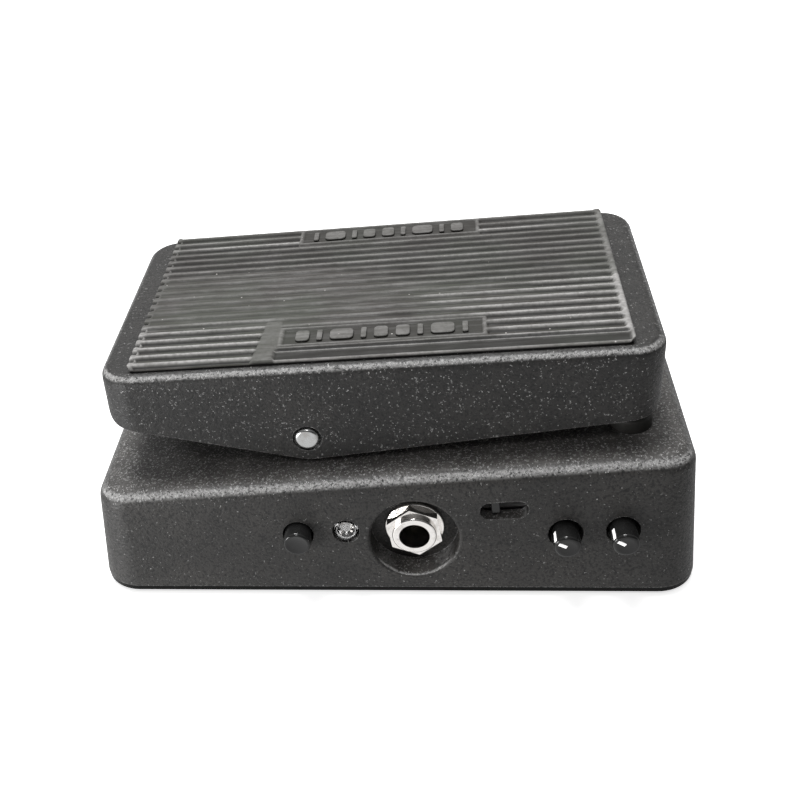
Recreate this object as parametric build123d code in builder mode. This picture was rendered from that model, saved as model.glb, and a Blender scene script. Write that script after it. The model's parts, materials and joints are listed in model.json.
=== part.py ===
from build123d import *
import math
import os

# Compact rocking-treadle effects pedal, in millimetres. The origin is on the floor under the
# middle of the base; +X points to the toe, -Y to the side with the controls, +Z up.

# --- Base shell: a drafted box whose top rises to the toe
BASE_LENGTH = 130.0
BASE_WIDTH = 80.9
BASE_CORNER = 9.0
BASE_DRAFT = 4.6  # degrees
BASE_TOP_Z = 29.9  # the top plane above the origin
BASE_TOP_TILT = 4.14  # degrees
BASE_EDGE = 3.5
WALL = 3.0
BLANK_HEIGHT = 45.0  # of the shell's blank, before its top is cut
MAT_THICK = 1.0
MAT_INSET = 1.5
MAT_HOLE_R = 3.4
PLATE_THICK = 1.2
PLATE_INSET = 0.3
HOUSING_Z = MAT_THICK + PLATE_THICK

# --- Treadle: a shell that hangs over the base on the pivot shaft
TREADLE_HEEL_X = -60.0
TREADLE_TOE_X = 55.8
TREADLE_WIDTH = 62.0
TREADLE_CORNER = 7.0
TREADLE_TOP_Z = 53.65  # the top plane above the origin
TREADLE_TILT = 2.98  # degrees
TREADLE_EDGE = 2.3
SKIRT_HEEL_Z = 38.9
SKIRT_LOW_Z = 29.9
SKIRT_TOE_Z = 40.1
SKIRT_CORNER = 4.0
SKIRT_LOW_ROUND = 9.0
PAD_HEEL_X = -53.4
PAD_TOE_X = 49.2
PAD_WIDTH = 57.6
PAD_THICK = 1.6
PAD_CORNER = 2.0

# --- Pivot
PIVOT_X = -17.0
PIVOT_Z = 35.4
SHAFT_R = 2.6
SHAFT_HALF_LENGTH = 31.5
SHAFT_DOME = 0.7
SHAFT_RUN = 0.05  # radial running clearance
SHAFT_RECESS_R = 3.1
SHAFT_RECESS = 0.8
BUSH_R = 3.7
BUSH_FLANGE_R = 5.0
BUSH_FLANGE = 0.8
EAR_R = 5.6
EAR_HALF_FOOT = 8.5
EAR_ROOT = 1.0  # sunk in the shell's top
EAR_INNER_Y = 20.6
EAR_OUTER_Y = 25.6
SIDE_GAP = 0.3
GLUE_FIT = 0.01  # between two pieces that are fixed together
THROUGH = 40.0  # reach of a cut that goes right through

# --- Rubber stops on the base and the treadle bosses above them
BUMPER_R = 4.35
TOE_STOP = (50.5, 23.6)
TOE_BUMPER_HEIGHT = 3.5
TOE_BUMPER_ROUND = 1.0
TOE_BOSS_Z = 39.8
HEEL_STOP = (-48.0, 7.0)
HEEL_BUMPER_HEIGHT = 3.5
HEEL_BUMPER_ROUND = 1.5
HEEL_BOSS_Z = 38.5
STOP_BOSS_R = 3.4

# --- Rack and pinion
GEAR_MODULE = 0.8
PINION_TEETH = 14
PRESSURE_ANGLE = math.radians(20)
BACKLASH = 0.12
PITCH_LINE_X = 17.0
PINION_R = GEAR_MODULE * PINION_TEETH / 2
PINION_X = PITCH_LINE_X - PINION_R
PINION_Z = 16.5
PINION_TIP_R = PINION_R + GEAR_MODULE
PINION_ROOT_R = PINION_R - 1.15 * GEAR_MODULE
PINION_BASE_R = PINION_R * math.cos(PRESSURE_ANGLE)
PINION_HALF_WIDTH = 3.0
RACK_ADDENDUM = 0.6
RACK_DEDENDUM = 1.0
RACK_BACK = 4.2  # behind the pitch line
RACK_HALF_WIDTH = 2.0
RACK_FOOT_Z = 4.6
RACK_TEETH_BELOW = 4  # below the pinion's centre
RACK_TEETH_ABOVE = 2
RACK_HEAD_X = 18.3
RACK_HEAD = (9.8, 6.4)
RACK_HEAD_CORNER = 1.5
RACK_SLOT = (5.0, 3.5)
RACK_HOLE_X = 18.8
RACK_HOLE = (7.4, 5.6)
RACK_PIN_X = 19.0
RACK_PIN_Z = 37.0
RACK_PIN_R = 1.5
RACK_PIN_HEAD_R = 2.3
RACK_PIN_HEAD = 0.7
CLEVIS_SPAN = (14.0, 24.0)
CLEVIS_HALF_WIDTH = 11.4
CLEVIS_THICK = 1.2
CLEVIS_INNER_Y = 3.2
CLEVIS_EYE_R = 3.0
CLEVIS_SCREW_Y = 8.2
CLEVIS_PAD_R = 3.4
CLEVIS_PAD = 2.0
GUIDE_GAP = 0.3
GUIDE_CHEEK = 2.2
GUIDE_DEPTH = 4.0
GUIDE_HALF_HEIGHT = 5.2
GUIDE_Y = -4.5

# --- Potentiometer that the pinion turns, and its bracket
BRACKET_TOP_Z = 26.2
BRACKET_FOOT_Z = 7.0
BRACKET_SPAN = (1.5, 29.0)
BRACKET_THICK = 1.5
BRACKET_FACE_Y = 8.0
BRACKET_TABS = (5.2, 25.8)
BRACKET_TAB_HALF = 3.4
BRACKET_TAB_Y = 4.0
BRACKET_BACK_Y = BRACKET_FACE_Y + BRACKET_THICK
POT_BODY_R = 8.2
POT_BODY_DEPTH = 8.5
POT_BUSH_R = 3.5
POT_BUSH_TIP_Y = 4.0
POT_NUT_HALF_FLATS = 5.0
POT_NUT = 2.0
POT_SHAFT_R = 3.0
POT_SHAFT_END = 2.6  # reach inside the body
POT_TERMINALS = (10.0, 1.0, 12.0)

# --- Jacks: a deep round well in the side wall with the nut inside it
JACK_Z = 14.9
INPUT_X = 4.9
OUTPUT_X = -38.0
WELL_R = 9.35
WELL_ROUND = 0.7
WELL_FLOOR_Y = 34.7
WELL_BACK_Y = 32.2
CUP_R = 11.6
BUSHING_R = 4.7
BUSHING_HOLE_R = 4.8
BUSHING_ROUND = 0.4
JACK_BORE_R = 3.25
JACK_BORE_LENGTH = 25.0
JACK_TIP_Y = 38.4
JACK_CASE_HALF = 7.9
JACK_CASE_Z = (7.8, 22.8)
JACK_CASE_END_Y = 11.0
WASHER_R = 6.35
WASHER_THICK = 0.8
WASHER_ROUND = 0.25
NUT_THICK = 1.8
NUT_CORNER_R = 6.24
NUT_TURN = 9.0  # degrees away from a corner pointing straight down

# --- Power inlet on the far side
INLET_X = -8.0
INLET_Z = 15.0
INLET_FACE_Y = 38.3
INLET_SPOT_R = 7.6
INLET_FLANGE_R = 7.0
INLET_FLANGE = 1.8
INLET_FLANGE_ROUND = 0.6
INLET_BUSH_R = 5.9
INLET_BORE_R = 2.9
INLET_PIN_R = 1.05
INLET_PIN_ROUND = 0.4
INLET_SHANK_R = 1.6  # of the pin, inside the socket's floor
INLET_DEPTH = 11.0
INLET_BACK_Y = 24.0
INLET_LUG = (2.0, 4.0, 0.8)
INLET_LUG_X = 3.5
INLET_NUT_HALF_FLATS = 7.0
INLET_NUT_Y = 32.0
INLET_NUT = 2.8

# --- Controls on the near side, from heel to toe
WALL_CUT_Y = (-45.0, -34.0)
SWITCH_FRONT_Y = -35.2
BUTTON_X = -19.65
BUTTON_Z = 16.1
BUTTON_R = 2.9
BUTTON_HOLE_R = 3.3
BUTTON_Y = (-42.4, -33.2)
BUTTON_ROUND = 0.35
BUTTON_SOCKET_Y = -31.2
BUTTON_BODY_HALF = 4.2
BUTTON_BODY_BACK_Y = -27.5
LED_X = -9.5
LED_Z = 16.9
LED_R = 2.5
LED_HOLE_R = 2.85
LED_TIP_Y = -40.6
LED_FLANGE_R = 2.9
LED_FLANGE_Y = (-35.4, -34.4)
LED_LEG = (1.27, 0.25, -28.0)  # offset, radius, end
SLOT_X = 23.6
SLOT_Z = 22.2
SLOT_SIZE = (10.0, 4.2)
SLOT_CORNER = 2.05
SLOT_BODY = (12.8, 6.6)
SLOT_BODY_BACK_Y = -30.5
LEVER_X = 21.9
LEVER_SIZE = (1.8, 3.0)
LEVER_Y = (-37.7, -33.3)
LEVER_ROUND = 0.25
LEVER_TRACK_GAP = 0.6
KNOB_R = 2.8
KNOB_ROUND = 0.3
KNOB_END_Y = -31.5
KNOB_SOCKET_Y = -31.2
KNOB_BODY = (9.4, 10.8)
KNOB_BODY_BACK_Y = -29.6
KNOBS = (  # name, x, z, radius of the hole in the wall, y of the knob's face
    ("q", 36.3, 16.3, 3.65, -43.45),
    ("volume", 48.0, 17.1, 3.55, -43.7),
)
SIDE_BOARD = ((31.0, 53.4), (-29.6, -28.0), (7.0, 26.0))

# --- Foot switch under the toe
FOOT_X = 38.0
FOOT_SPOT_Z = 31.9
FOOT_SPOT_R = 8.2
FOOT_HOLE_R = 6.05
FOOT_BUSH_R = 5.9
FOOT_BUSH_TOP_Z = 40.2
FOOT_BODY_HALF = 8.4
FOOT_BODY_Z = (12.5, 28.3)
FOOT_BORE_Z = 27.3
FOOT_LUG = (0.8, 2.2, 4.0)
FOOT_LUG_PITCH = (4.6, 4.8)
FOOT_WASHER_R = 7.6
FOOT_WASHER = 0.6
FOOT_NUT_HALF_FLATS = 7.0
FOOT_NUT = 2.4
PLUNGER_R = 3.5
PLUNGER_Z = (29.4, 46.0)
PLUNGER_ROUND = 1.2
SWITCH_PAD_R = 4.6
SWITCH_PAD_Z = (48.1, 50.3)
SWITCH_BOSS_R = 5.0

# --- Screws and circuit boards
POST_X = 57.3
POST_Y = 32.3
POST_R = 3.6
SCREW_R = 1.45
SCREW_HEAD_R = 2.5
SCREW_HEAD = 1.8
SCREW_BITE = 6.0
PILOT_R = 1.5
CLEAR_R = 1.6
SUNK_HEAD_R = 2.8
SUNK_HOLE_R = 2.9
PLATE_SCREW_LENGTH = 9.5
PLATE_PILOT_DEPTH = 10.0
DRIVE_R = 0.9
DRIVE_DEPTH = 0.7
BOARD_Z = 6.0
BOARD_THICK = 1.6
BOARD_FACE_Z = BOARD_Z + BOARD_THICK
BOARD_SPAN = ((-50.0, -16.0), (-27.0, 31.5))
BOARD_POSTS = ((-46.5, -22.5), (-20.0, -22.5), (-46.5, 6.5), (-20.0, 6.5))
BOARD_POST_R = 2.6
INDUCTOR = (-34.0, -12.0, 7.0, 9.0)  # x, y, radius, height
CAPACITORS = ((-40.0, 1.0), (-32.0, 1.5), (-26.0, 4.5))
CAPACITOR_SIZE = (2.5, 8.0)
CHIP_XS = (-46.2, -21.5)
CHIP_Y = -10.25
CHIP_SIZE = (6.2, 9.5, 3.2)
CHIP_LIFT = 0.4
CHIP_PIN = (0.7, 0.5, 2.2)
CHIP_PIN_PITCH = 2.54

base_top = Plane.XY.offset(BASE_TOP_Z).rotated((0, -BASE_TOP_TILT, 0))
treadle_top = Plane.XY.offset(TREADLE_TOP_Z).rotated((0, -TREADLE_TILT, 0))


def base_top_z(x):
    """Height of the base's top plane at x."""
    return BASE_TOP_Z + x * math.tan(math.radians(BASE_TOP_TILT))


def treadle_top_z(x):
    """Height of the treadle's top plane at x."""
    return TREADLE_TOP_Z + x * math.tan(math.radians(TREADLE_TILT))


def rod_y(x, z, radius, y_span, mode=Mode.ADD):
    """A cylinder along Y between two y values."""
    with Locations((x, sum(y_span) / 2, z)):
        Cylinder(radius, abs(y_span[1] - y_span[0]), rotation=(90, 0, 0), mode=mode)


def rod_z(x, y, radius, z_span, mode=Mode.ADD):
    """A cylinder along Z between two z values."""
    with Locations((x, y, sum(z_span) / 2)):
        Cylinder(radius, abs(z_span[1] - z_span[0]), mode=mode)


def block(x_span, y_span, z_span, mode=Mode.ADD):
    """A box between two corners."""
    spans = (x_span, y_span, z_span)
    with Locations(tuple(sum(span) / 2 for span in spans)):
        Box(*[abs(span[1] - span[0]) for span in spans], mode=mode)


def around(centre, half):
    """The span from half below a centre to half above it."""
    return (centre - half, centre + half)


def mirrored(*values):
    """The values for the near side and then for the far side."""
    return (tuple(-value for value in values), values)


def is_well_mouth(edge, x, side):
    """Whether an edge runs round the mouth of a jack well, out on the sloping wall."""
    for share in (0.1, 0.5, 0.9):
        point = edge @ share
        reach = math.hypot(point.X - x, point.Z - JACK_Z)
        if abs(reach - WELL_R) > 0.01 or side * point.Y < WELL_FLOOR_Y + 1:
            return False
    return True


def save(piece, name):
    """Labels a finished piece and writes the STEP file of its node."""
    piece.part.label = name
    export_step(piece.part, f"parts/{name}.step")


os.makedirs("parts", exist_ok=True)

# ------------------------------------------------------------------------------ base shell

# The space inside the shell. Cast metal that stands in it is taken out of the space.
with BuildPart() as base_space:
    with BuildSketch():
        RectangleRounded(BASE_LENGTH - 2 * WALL, BASE_WIDTH - 2 * WALL, BASE_CORNER - WALL)
    extrude(amount=BLANK_HEIGHT, taper=BASE_DRAFT)
    split(bisect_by=base_top.offset(-WALL), keep=Keep.BOTTOM)
    with BuildSketch():
        with GridLocations(2 * POST_X, 2 * POST_Y, 2, 2):
            Circle(POST_R)
    extrude(amount=BLANK_HEIGHT, mode=Mode.SUBTRACT)
    for x, y in BOARD_POSTS:
        rod_z(x, y, BOARD_POST_R, (BOARD_FACE_Z, BLANK_HEIGHT), Mode.SUBTRACT)
    for x in BRACKET_TABS:
        rod_z(x, BRACKET_TAB_Y, BOARD_POST_R, (BRACKET_TOP_Z, BLANK_HEIGHT), Mode.SUBTRACT)
    rod_y(INPUT_X, JACK_Z, CUP_R, (-WELL_BACK_Y, -BLANK_HEIGHT), Mode.SUBTRACT)
    rod_y(OUTPUT_X, JACK_Z, CUP_R, (WELL_BACK_Y, BLANK_HEIGHT), Mode.SUBTRACT)

with BuildPart() as base_housing:
    with BuildSketch():
        RectangleRounded(BASE_LENGTH, BASE_WIDTH, BASE_CORNER)
    extrude(amount=BLANK_HEIGHT, taper=BASE_DRAFT)
    split(bisect_by=base_top, keep=Keep.BOTTOM)
    fillet(base_housing.faces().sort_by(Axis.Z)[-1].edges(), radius=BASE_EDGE)
    split(bisect_by=Plane.XY.offset(HOUSING_Z), keep=Keep.TOP)
    add(base_space.part, mode=Mode.SUBTRACT)
    # Two ears on the top carry the pivot.
    for near, far in mirrored(EAR_INNER_Y, EAR_OUTER_Y):
        with BuildSketch(Plane.XZ.offset(-near)):
            with Locations((PIVOT_X, PIVOT_Z)):
                Circle(EAR_R)
            heel_x, toe_x = around(PIVOT_X, EAR_HALF_FOOT)
            with BuildLine():
                Polyline(
                    (heel_x, base_top_z(heel_x) - EAR_ROOT),
                    (PIVOT_X - EAR_R, PIVOT_Z),
                    (PIVOT_X + EAR_R, PIVOT_Z),
                    (toe_x, base_top_z(toe_x) - EAR_ROOT),
                    close=True,
                )
            make_face()
        extrude(amount=near - far)
    rod_y(PIVOT_X, PIVOT_Z, BUSH_R, (-THROUGH, THROUGH), Mode.SUBTRACT)
    # Jack wells with their bushing holes.
    for x, side in ((INPUT_X, -1), (OUTPUT_X, 1)):
        rod_y(x, JACK_Z, WELL_R, (side * WELL_FLOOR_Y, side * BLANK_HEIGHT), Mode.SUBTRACT)
        rod_y(x, JACK_Z, BUSHING_HOLE_R, (side * EAR_OUTER_Y, side * BLANK_HEIGHT), Mode.SUBTRACT)
        mouth = base_housing.edges().filter_by(lambda edge: is_well_mouth(edge, x, side))
        fillet(mouth, radius=WELL_ROUND)
    # Power inlet: an upright spot face and its hole.
    rod_y(INLET_X, INLET_Z, INLET_SPOT_R, (INLET_FACE_Y, BLANK_HEIGHT), Mode.SUBTRACT)
    rod_y(INLET_X, INLET_Z, INLET_BUSH_R + SHAFT_RUN, (INLET_BACK_Y, BLANK_HEIGHT), Mode.SUBTRACT)
    # Openings for the controls.
    rod_y(BUTTON_X, BUTTON_Z, BUTTON_HOLE_R, WALL_CUT_Y, Mode.SUBTRACT)
    rod_y(LED_X, LED_Z, LED_HOLE_R, WALL_CUT_Y, Mode.SUBTRACT)
    for _, x, z, hole_r, _ in KNOBS:
        rod_y(x, z, hole_r, WALL_CUT_Y, Mode.SUBTRACT)
    with BuildSketch(Plane.XZ.offset(-WALL_CUT_Y[0])):
        with Locations(Location((SLOT_X, SLOT_Z), BASE_TOP_TILT)):
            RectangleRounded(*SLOT_SIZE, SLOT_CORNER)
    extrude(amount=WALL_CUT_Y[0] - WALL_CUT_Y[1], mode=Mode.SUBTRACT)
    # Foot switch: a level spot face and its hole.
    rod_z(FOOT_X, 0, FOOT_SPOT_R, (FOOT_SPOT_Z, BLANK_HEIGHT), Mode.SUBTRACT)
    rod_z(FOOT_X, 0, FOOT_HOLE_R, (FOOT_BORE_Z, BLANK_HEIGHT), Mode.SUBTRACT)
    # The opening that the rack rises through.
    with BuildSketch(Plane.XY.offset(BRACKET_TOP_Z)):
        with Locations((RACK_HOLE_X, 0)):
            Rectangle(*RACK_HOLE)
    extrude(amount=BLANK_HEIGHT, mode=Mode.SUBTRACT)
    # Pilot holes.
    for x in (-POST_X, POST_X):
        for y in (-POST_Y, POST_Y):
            rod_z(x, y, PILOT_R, (HOUSING_Z, HOUSING_Z + PLATE_PILOT_DEPTH), Mode.SUBTRACT)
    for x, y in BOARD_POSTS:
        rod_z(x, y, PILOT_R, (BOARD_FACE_Z, BOARD_FACE_Z + SCREW_BITE + 2), Mode.SUBTRACT)
    for x in BRACKET_TABS:
        rod_z(x, BRACKET_TAB_Y, PILOT_R, (BRACKET_TOP_Z, BRACKET_TOP_Z + SCREW_R + 1), Mode.SUBTRACT)
save(base_housing, "base_housing")

with BuildPart() as bottom_plate:
    with BuildSketch(Plane.XY.offset(MAT_THICK)):
        plate_size = (BASE_LENGTH - 2 * PLATE_INSET, BASE_WIDTH - 2 * PLATE_INSET)
        RectangleRounded(*plate_size, BASE_CORNER - PLATE_INSET)
    extrude(amount=PLATE_THICK)
    with Locations(Plane.XY.offset(MAT_THICK)):
        with GridLocations(2 * POST_X, 2 * POST_Y, 2, 2):
            Cone(
                SUNK_HOLE_R, CLEAR_R, PLATE_THICK,
                align=(Align.CENTER, Align.CENTER, Align.MIN), mode=Mode.SUBTRACT,
            )
save(bottom_plate, "bottom_plate")

with BuildPart() as bottom_plate_screws:
    upward = (Align.CENTER, Align.CENTER, Align.MIN)
    with Locations(Plane.XY.offset(MAT_THICK)):
        with GridLocations(2 * POST_X, 2 * POST_Y, 2, 2):
            Cone(SUNK_HEAD_R, SCREW_R, PLATE_THICK, align=upward)
            Cylinder(SCREW_R, PLATE_SCREW_LENGTH, align=upward)
            Cylinder(DRIVE_R, DRIVE_DEPTH, align=upward, mode=Mode.SUBTRACT)
save(bottom_plate_screws, "bottom_plate_screws")

with BuildPart() as non_slip_mat:
    with BuildSketch():
        mat_size = (BASE_LENGTH - 2 * MAT_INSET, BASE_WIDTH - 2 * MAT_INSET)
        RectangleRounded(*mat_size, BASE_CORNER - MAT_INSET)
        with GridLocations(2 * POST_X, 2 * POST_Y, 2, 2):
            Circle(MAT_HOLE_R, mode=Mode.SUBTRACT)
    extrude(amount=MAT_THICK)
save(non_slip_mat, "non_slip_mat")

# ------------------------------------------------------------- treadle, its pad and the pivot


def treadle_plan(inset):
    """The treadle seen from above, drawn in the sketch that is open."""
    size = (TREADLE_TOE_X - TREADLE_HEEL_X - 2 * inset, TREADLE_WIDTH - 2 * inset)
    with Locations(((TREADLE_HEEL_X + TREADLE_TOE_X) / 2, 0)):
        RectangleRounded(*size, TREADLE_CORNER - inset)


clevis_ceiling_z = treadle_top_z(RACK_PIN_X) - WALL - CLEVIS_PAD

# The space under the treadle, without the bosses that hang in it.
with BuildPart() as treadle_space:
    with BuildSketch():
        treadle_plan(WALL)
    extrude(amount=2 * BLANK_HEIGHT)
    split(bisect_by=treadle_top.offset(-WALL), keep=Keep.BOTTOM)
    for (x, y), z in ((TOE_STOP, TOE_BOSS_Z), (HEEL_STOP, HEEL_BOSS_Z)):
        for side_y in (-y, y):
            rod_z(x, side_y, STOP_BOSS_R, (z, 2 * BLANK_HEIGHT), Mode.SUBTRACT)
    rod_z(FOOT_X, 0, SWITCH_BOSS_R, (SWITCH_PAD_Z[1], 2 * BLANK_HEIGHT), Mode.SUBTRACT)
    for span in mirrored(EAR_OUTER_Y + BUSH_FLANGE + SIDE_GAP, THROUGH):
        rod_y(PIVOT_X, PIVOT_Z, BUSH_FLANGE_R + SIDE_GAP, span, Mode.SUBTRACT)
    for y in (-CLEVIS_SCREW_Y, CLEVIS_SCREW_Y):
        rod_z(RACK_PIN_X, y, CLEVIS_PAD_R, (clevis_ceiling_z, 2 * BLANK_HEIGHT), Mode.SUBTRACT)

with BuildPart() as treadle:
    with BuildSketch(Plane.XZ) as side_view:
        with BuildLine():
            Polyline(
                (TREADLE_HEEL_X, treadle_top_z(TREADLE_HEEL_X)),
                (TREADLE_HEEL_X, SKIRT_HEEL_Z),
                (PIVOT_X, SKIRT_LOW_Z),
                (TREADLE_TOE_X, SKIRT_TOE_Z),
                (TREADLE_TOE_X, treadle_top_z(TREADLE_TOE_X)),
                close=True,
            )
        make_face()
        fillet(side_view.vertices().sort_by(Axis.Y)[0], radius=SKIRT_LOW_ROUND)
        for end in (0, -1):
            end_corners = side_view.vertices().group_by(Axis.X)[end]
            fillet(end_corners.sort_by(Axis.Y)[0], radius=SKIRT_CORNER)
    extrude(amount=TREADLE_WIDTH, both=True)
    with BuildSketch():
        treadle_plan(0)
    extrude(amount=2 * BLANK_HEIGHT, mode=Mode.INTERSECT)
    fillet(treadle.faces().sort_by(Axis.Z)[-1].edges(), radius=TREADLE_EDGE)
    add(treadle_space.part, mode=Mode.SUBTRACT)
    rod_y(PIVOT_X, PIVOT_Z, SHAFT_R + GLUE_FIT, (-THROUGH, THROUGH), Mode.SUBTRACT)
    for span in mirrored(TREADLE_WIDTH / 2 - SHAFT_RECESS, THROUGH):
        rod_y(PIVOT_X, PIVOT_Z, SHAFT_RECESS_R, span, Mode.SUBTRACT)
    for y in (-CLEVIS_SCREW_Y, CLEVIS_SCREW_Y):
        pilot_z = (clevis_ceiling_z - 1, clevis_ceiling_z + CLEVIS_PAD + WALL / 2)
        rod_z(RACK_PIN_X, y, PILOT_R, pilot_z, Mode.SUBTRACT)
save(treadle, "treadle")

with BuildPart() as treadle_pad:
    shrink = math.cos(math.radians(TREADLE_TILT))
    with BuildSketch(treadle_top):
        with Locations(((PAD_HEEL_X + PAD_TOE_X) / 2 / shrink, 0)):
            RectangleRounded((PAD_TOE_X - PAD_HEEL_X) / shrink, PAD_WIDTH, PAD_CORNER)
    extrude(amount=PAD_THICK)
save(treadle_pad, "treadle_pad")

with BuildPart() as pivot_shaft:
    rod_y(PIVOT_X, PIVOT_Z, SHAFT_R, (-SHAFT_HALF_LENGTH, SHAFT_HALF_LENGTH))
    fillet(pivot_shaft.edges(), radius=SHAFT_DOME)
save(pivot_shaft, "pivot_shaft")

with BuildPart() as pivot_bushes:
    for span in mirrored(EAR_INNER_Y, EAR_OUTER_Y):
        rod_y(PIVOT_X, PIVOT_Z, BUSH_R - GLUE_FIT, span)
    for span in mirrored(EAR_OUTER_Y, EAR_OUTER_Y + BUSH_FLANGE):
        rod_y(PIVOT_X, PIVOT_Z, BUSH_FLANGE_R, span)
    rod_y(PIVOT_X, PIVOT_Z, SHAFT_R + SHAFT_RUN, (-THROUGH, THROUGH), Mode.SUBTRACT)
save(pivot_bushes, "pivot_bushes")


def bumpers(place, height, rounding):
    """A pair of rubber buttons standing on the sloping top of the base."""
    x, y = place
    with BuildPart() as pair:
        for side_y in (-y, y):
            foot = Plane((x, side_y, base_top_z(x)), x_dir=base_top.x_dir, z_dir=base_top.z_dir)
            with BuildSketch(foot):
                Circle(BUMPER_R)
            extrude(amount=height)
        fillet(pair.edges().filter_by(GeomType.CIRCLE).group_by(Axis.Z)[-1], radius=rounding)
    return pair


save(bumpers(TOE_STOP, TOE_BUMPER_HEIGHT, TOE_BUMPER_ROUND), "toe_bumpers")
save(bumpers(HEEL_STOP, HEEL_BUMPER_HEIGHT, HEEL_BUMPER_ROUND), "heel_bumpers")

# -------------------------------------------------------------------------- rack and pinion


def involute(angle):
    """The involute function of a pressure angle."""
    return math.tan(angle) - angle


def tooth_half_angle(radius):
    """Half the angle that a pinion tooth takes up at a radius."""
    here = math.acos(min(1.0, PINION_BASE_R / radius))
    at_pitch = math.pi / (2 * PINION_TEETH) - BACKLASH / (2 * PINION_R)
    return at_pitch + involute(PRESSURE_ANGLE) - involute(here)


def flank_point(radius, side):
    """A point on one flank of the tooth that points along +X."""
    angle = side * tooth_half_angle(radius)
    return (radius * math.cos(angle), radius * math.sin(angle))


with BuildSketch() as pinion_tooth:
    with BuildLine():
        flank_radii = (PINION_BASE_R, PINION_R, PINION_TIP_R)
        lower = Spline(*[flank_point(radius, -1) for radius in flank_radii])
        upper = Spline(*[flank_point(radius, 1) for radius in flank_radii])
        ThreePointArc(lower @ 1, (PINION_TIP_R, 0), upper @ 1)
        root_x = PINION_ROOT_R * math.cos(tooth_half_angle(PINION_BASE_R))
        root_y = PINION_ROOT_R * math.sin(tooth_half_angle(PINION_BASE_R))
        Polyline(lower @ 0, (root_x, -root_y), (root_x, root_y), upper @ 0)
    make_face()

with BuildPart() as pinion_gear:
    with BuildSketch(Plane((PINION_X, PINION_HALF_WIDTH, PINION_Z), (1, 0, 0), (0, -1, 0))):
        Circle(PINION_ROOT_R)
        with PolarLocations(0, PINION_TEETH):
            add(pinion_tooth.sketch)
    extrude(amount=2 * PINION_HALF_WIDTH)
    bore_y = (-THROUGH, THROUGH)
    rod_y(PINION_X, PINION_Z, POT_SHAFT_R + GLUE_FIT, bore_y, Mode.SUBTRACT)
save(pinion_gear, "pinion_gear")


def rack_tooth(z):
    """One rack tooth centred at height z, drawn in the sketch that is open."""
    lean = math.tan(PRESSURE_ANGLE)
    half_tooth = math.pi * GEAR_MODULE / 4 - BACKLASH / 2
    half_root = half_tooth + RACK_DEDENDUM * lean
    half_tip = half_tooth - RACK_ADDENDUM * lean
    root = PITCH_LINE_X + RACK_DEDENDUM
    tip = PITCH_LINE_X - RACK_ADDENDUM
    with BuildSketch(mode=Mode.PRIVATE) as tooth:
        with BuildLine():
            Polyline(
                (root + half_root, z - half_root),
                (root, z - half_root),
                (tip, z - half_tip),
                (tip, z + half_tip),
                (root, z + half_root),
                (root + half_root, z + half_root),
                close=True,
            )
        make_face()
    add(tooth.sketch)


rack_side = Plane.XZ.offset(-RACK_HALF_WIDTH)

with BuildPart() as gear_rack:
    rack_x = (PITCH_LINE_X + RACK_DEDENDUM, PITCH_LINE_X + RACK_BACK)
    block(rack_x, around(0, RACK_HALF_WIDTH), (RACK_FOOT_Z, RACK_PIN_Z))
    with BuildSketch(rack_side):
        for number in range(-RACK_TEETH_BELOW, RACK_TEETH_ABOVE):
            rack_tooth(PINION_Z + (number + 0.5) * math.pi * GEAR_MODULE)
        with Locations((RACK_HEAD_X, RACK_PIN_Z)):
            RectangleRounded(*RACK_HEAD, RACK_HEAD_CORNER)
    extrude(amount=2 * RACK_HALF_WIDTH)
    with BuildSketch(rack_side):
        with Locations((RACK_HEAD_X, RACK_PIN_Z)):
            SlotOverall(*RACK_SLOT)
    extrude(amount=2 * RACK_HALF_WIDTH, mode=Mode.SUBTRACT)
save(gear_rack, "gear_rack")

with BuildPart() as rack_clevis:
    strap_z = (clevis_ceiling_z - CLEVIS_THICK, clevis_ceiling_z)
    block(CLEVIS_SPAN, around(0, CLEVIS_HALF_WIDTH), strap_z)
    for near, far in mirrored(CLEVIS_INNER_Y, CLEVIS_INNER_Y + CLEVIS_THICK):
        with BuildSketch(Plane.XZ.offset(-near)):
            with BuildLine():
                Polyline(
                    (CLEVIS_SPAN[0], strap_z[0]),
                    (CLEVIS_SPAN[1], strap_z[0]),
                    (RACK_PIN_X + CLEVIS_EYE_R, RACK_PIN_Z),
                    (RACK_PIN_X - CLEVIS_EYE_R, RACK_PIN_Z),
                    close=True,
                )
            make_face()
            with Locations((RACK_PIN_X, RACK_PIN_Z)):
                Circle(CLEVIS_EYE_R)
        extrude(amount=near - far)
    rod_y(RACK_PIN_X, RACK_PIN_Z, RACK_PIN_R + GLUE_FIT, (-THROUGH, THROUGH), Mode.SUBTRACT)
    for y in (-CLEVIS_SCREW_Y, CLEVIS_SCREW_Y):
        rod_z(RACK_PIN_X, y, CLEAR_R, around(strap_z[0], WALL), Mode.SUBTRACT)
save(rack_clevis, "rack_clevis")

with BuildPart() as rack_clevis_screws:
    for y in (-CLEVIS_SCREW_Y, CLEVIS_SCREW_Y):
        rod_z(RACK_PIN_X, y, SCREW_R, (strap_z[0], strap_z[1] + CLEVIS_PAD + 1))
        rod_z(RACK_PIN_X, y, SCREW_HEAD_R, (strap_z[0] - SCREW_HEAD, strap_z[0]))
save(rack_clevis_screws, "rack_clevis_screws")

with BuildPart() as rack_pin:
    clevis_y = CLEVIS_INNER_Y + CLEVIS_THICK
    rod_y(RACK_PIN_X, RACK_PIN_Z, RACK_PIN_R, (-clevis_y, clevis_y))
    for span in mirrored(clevis_y, clevis_y + RACK_PIN_HEAD):
        rod_y(RACK_PIN_X, RACK_PIN_Z, RACK_PIN_HEAD_R, span)
save(rack_pin, "rack_pin")

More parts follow.
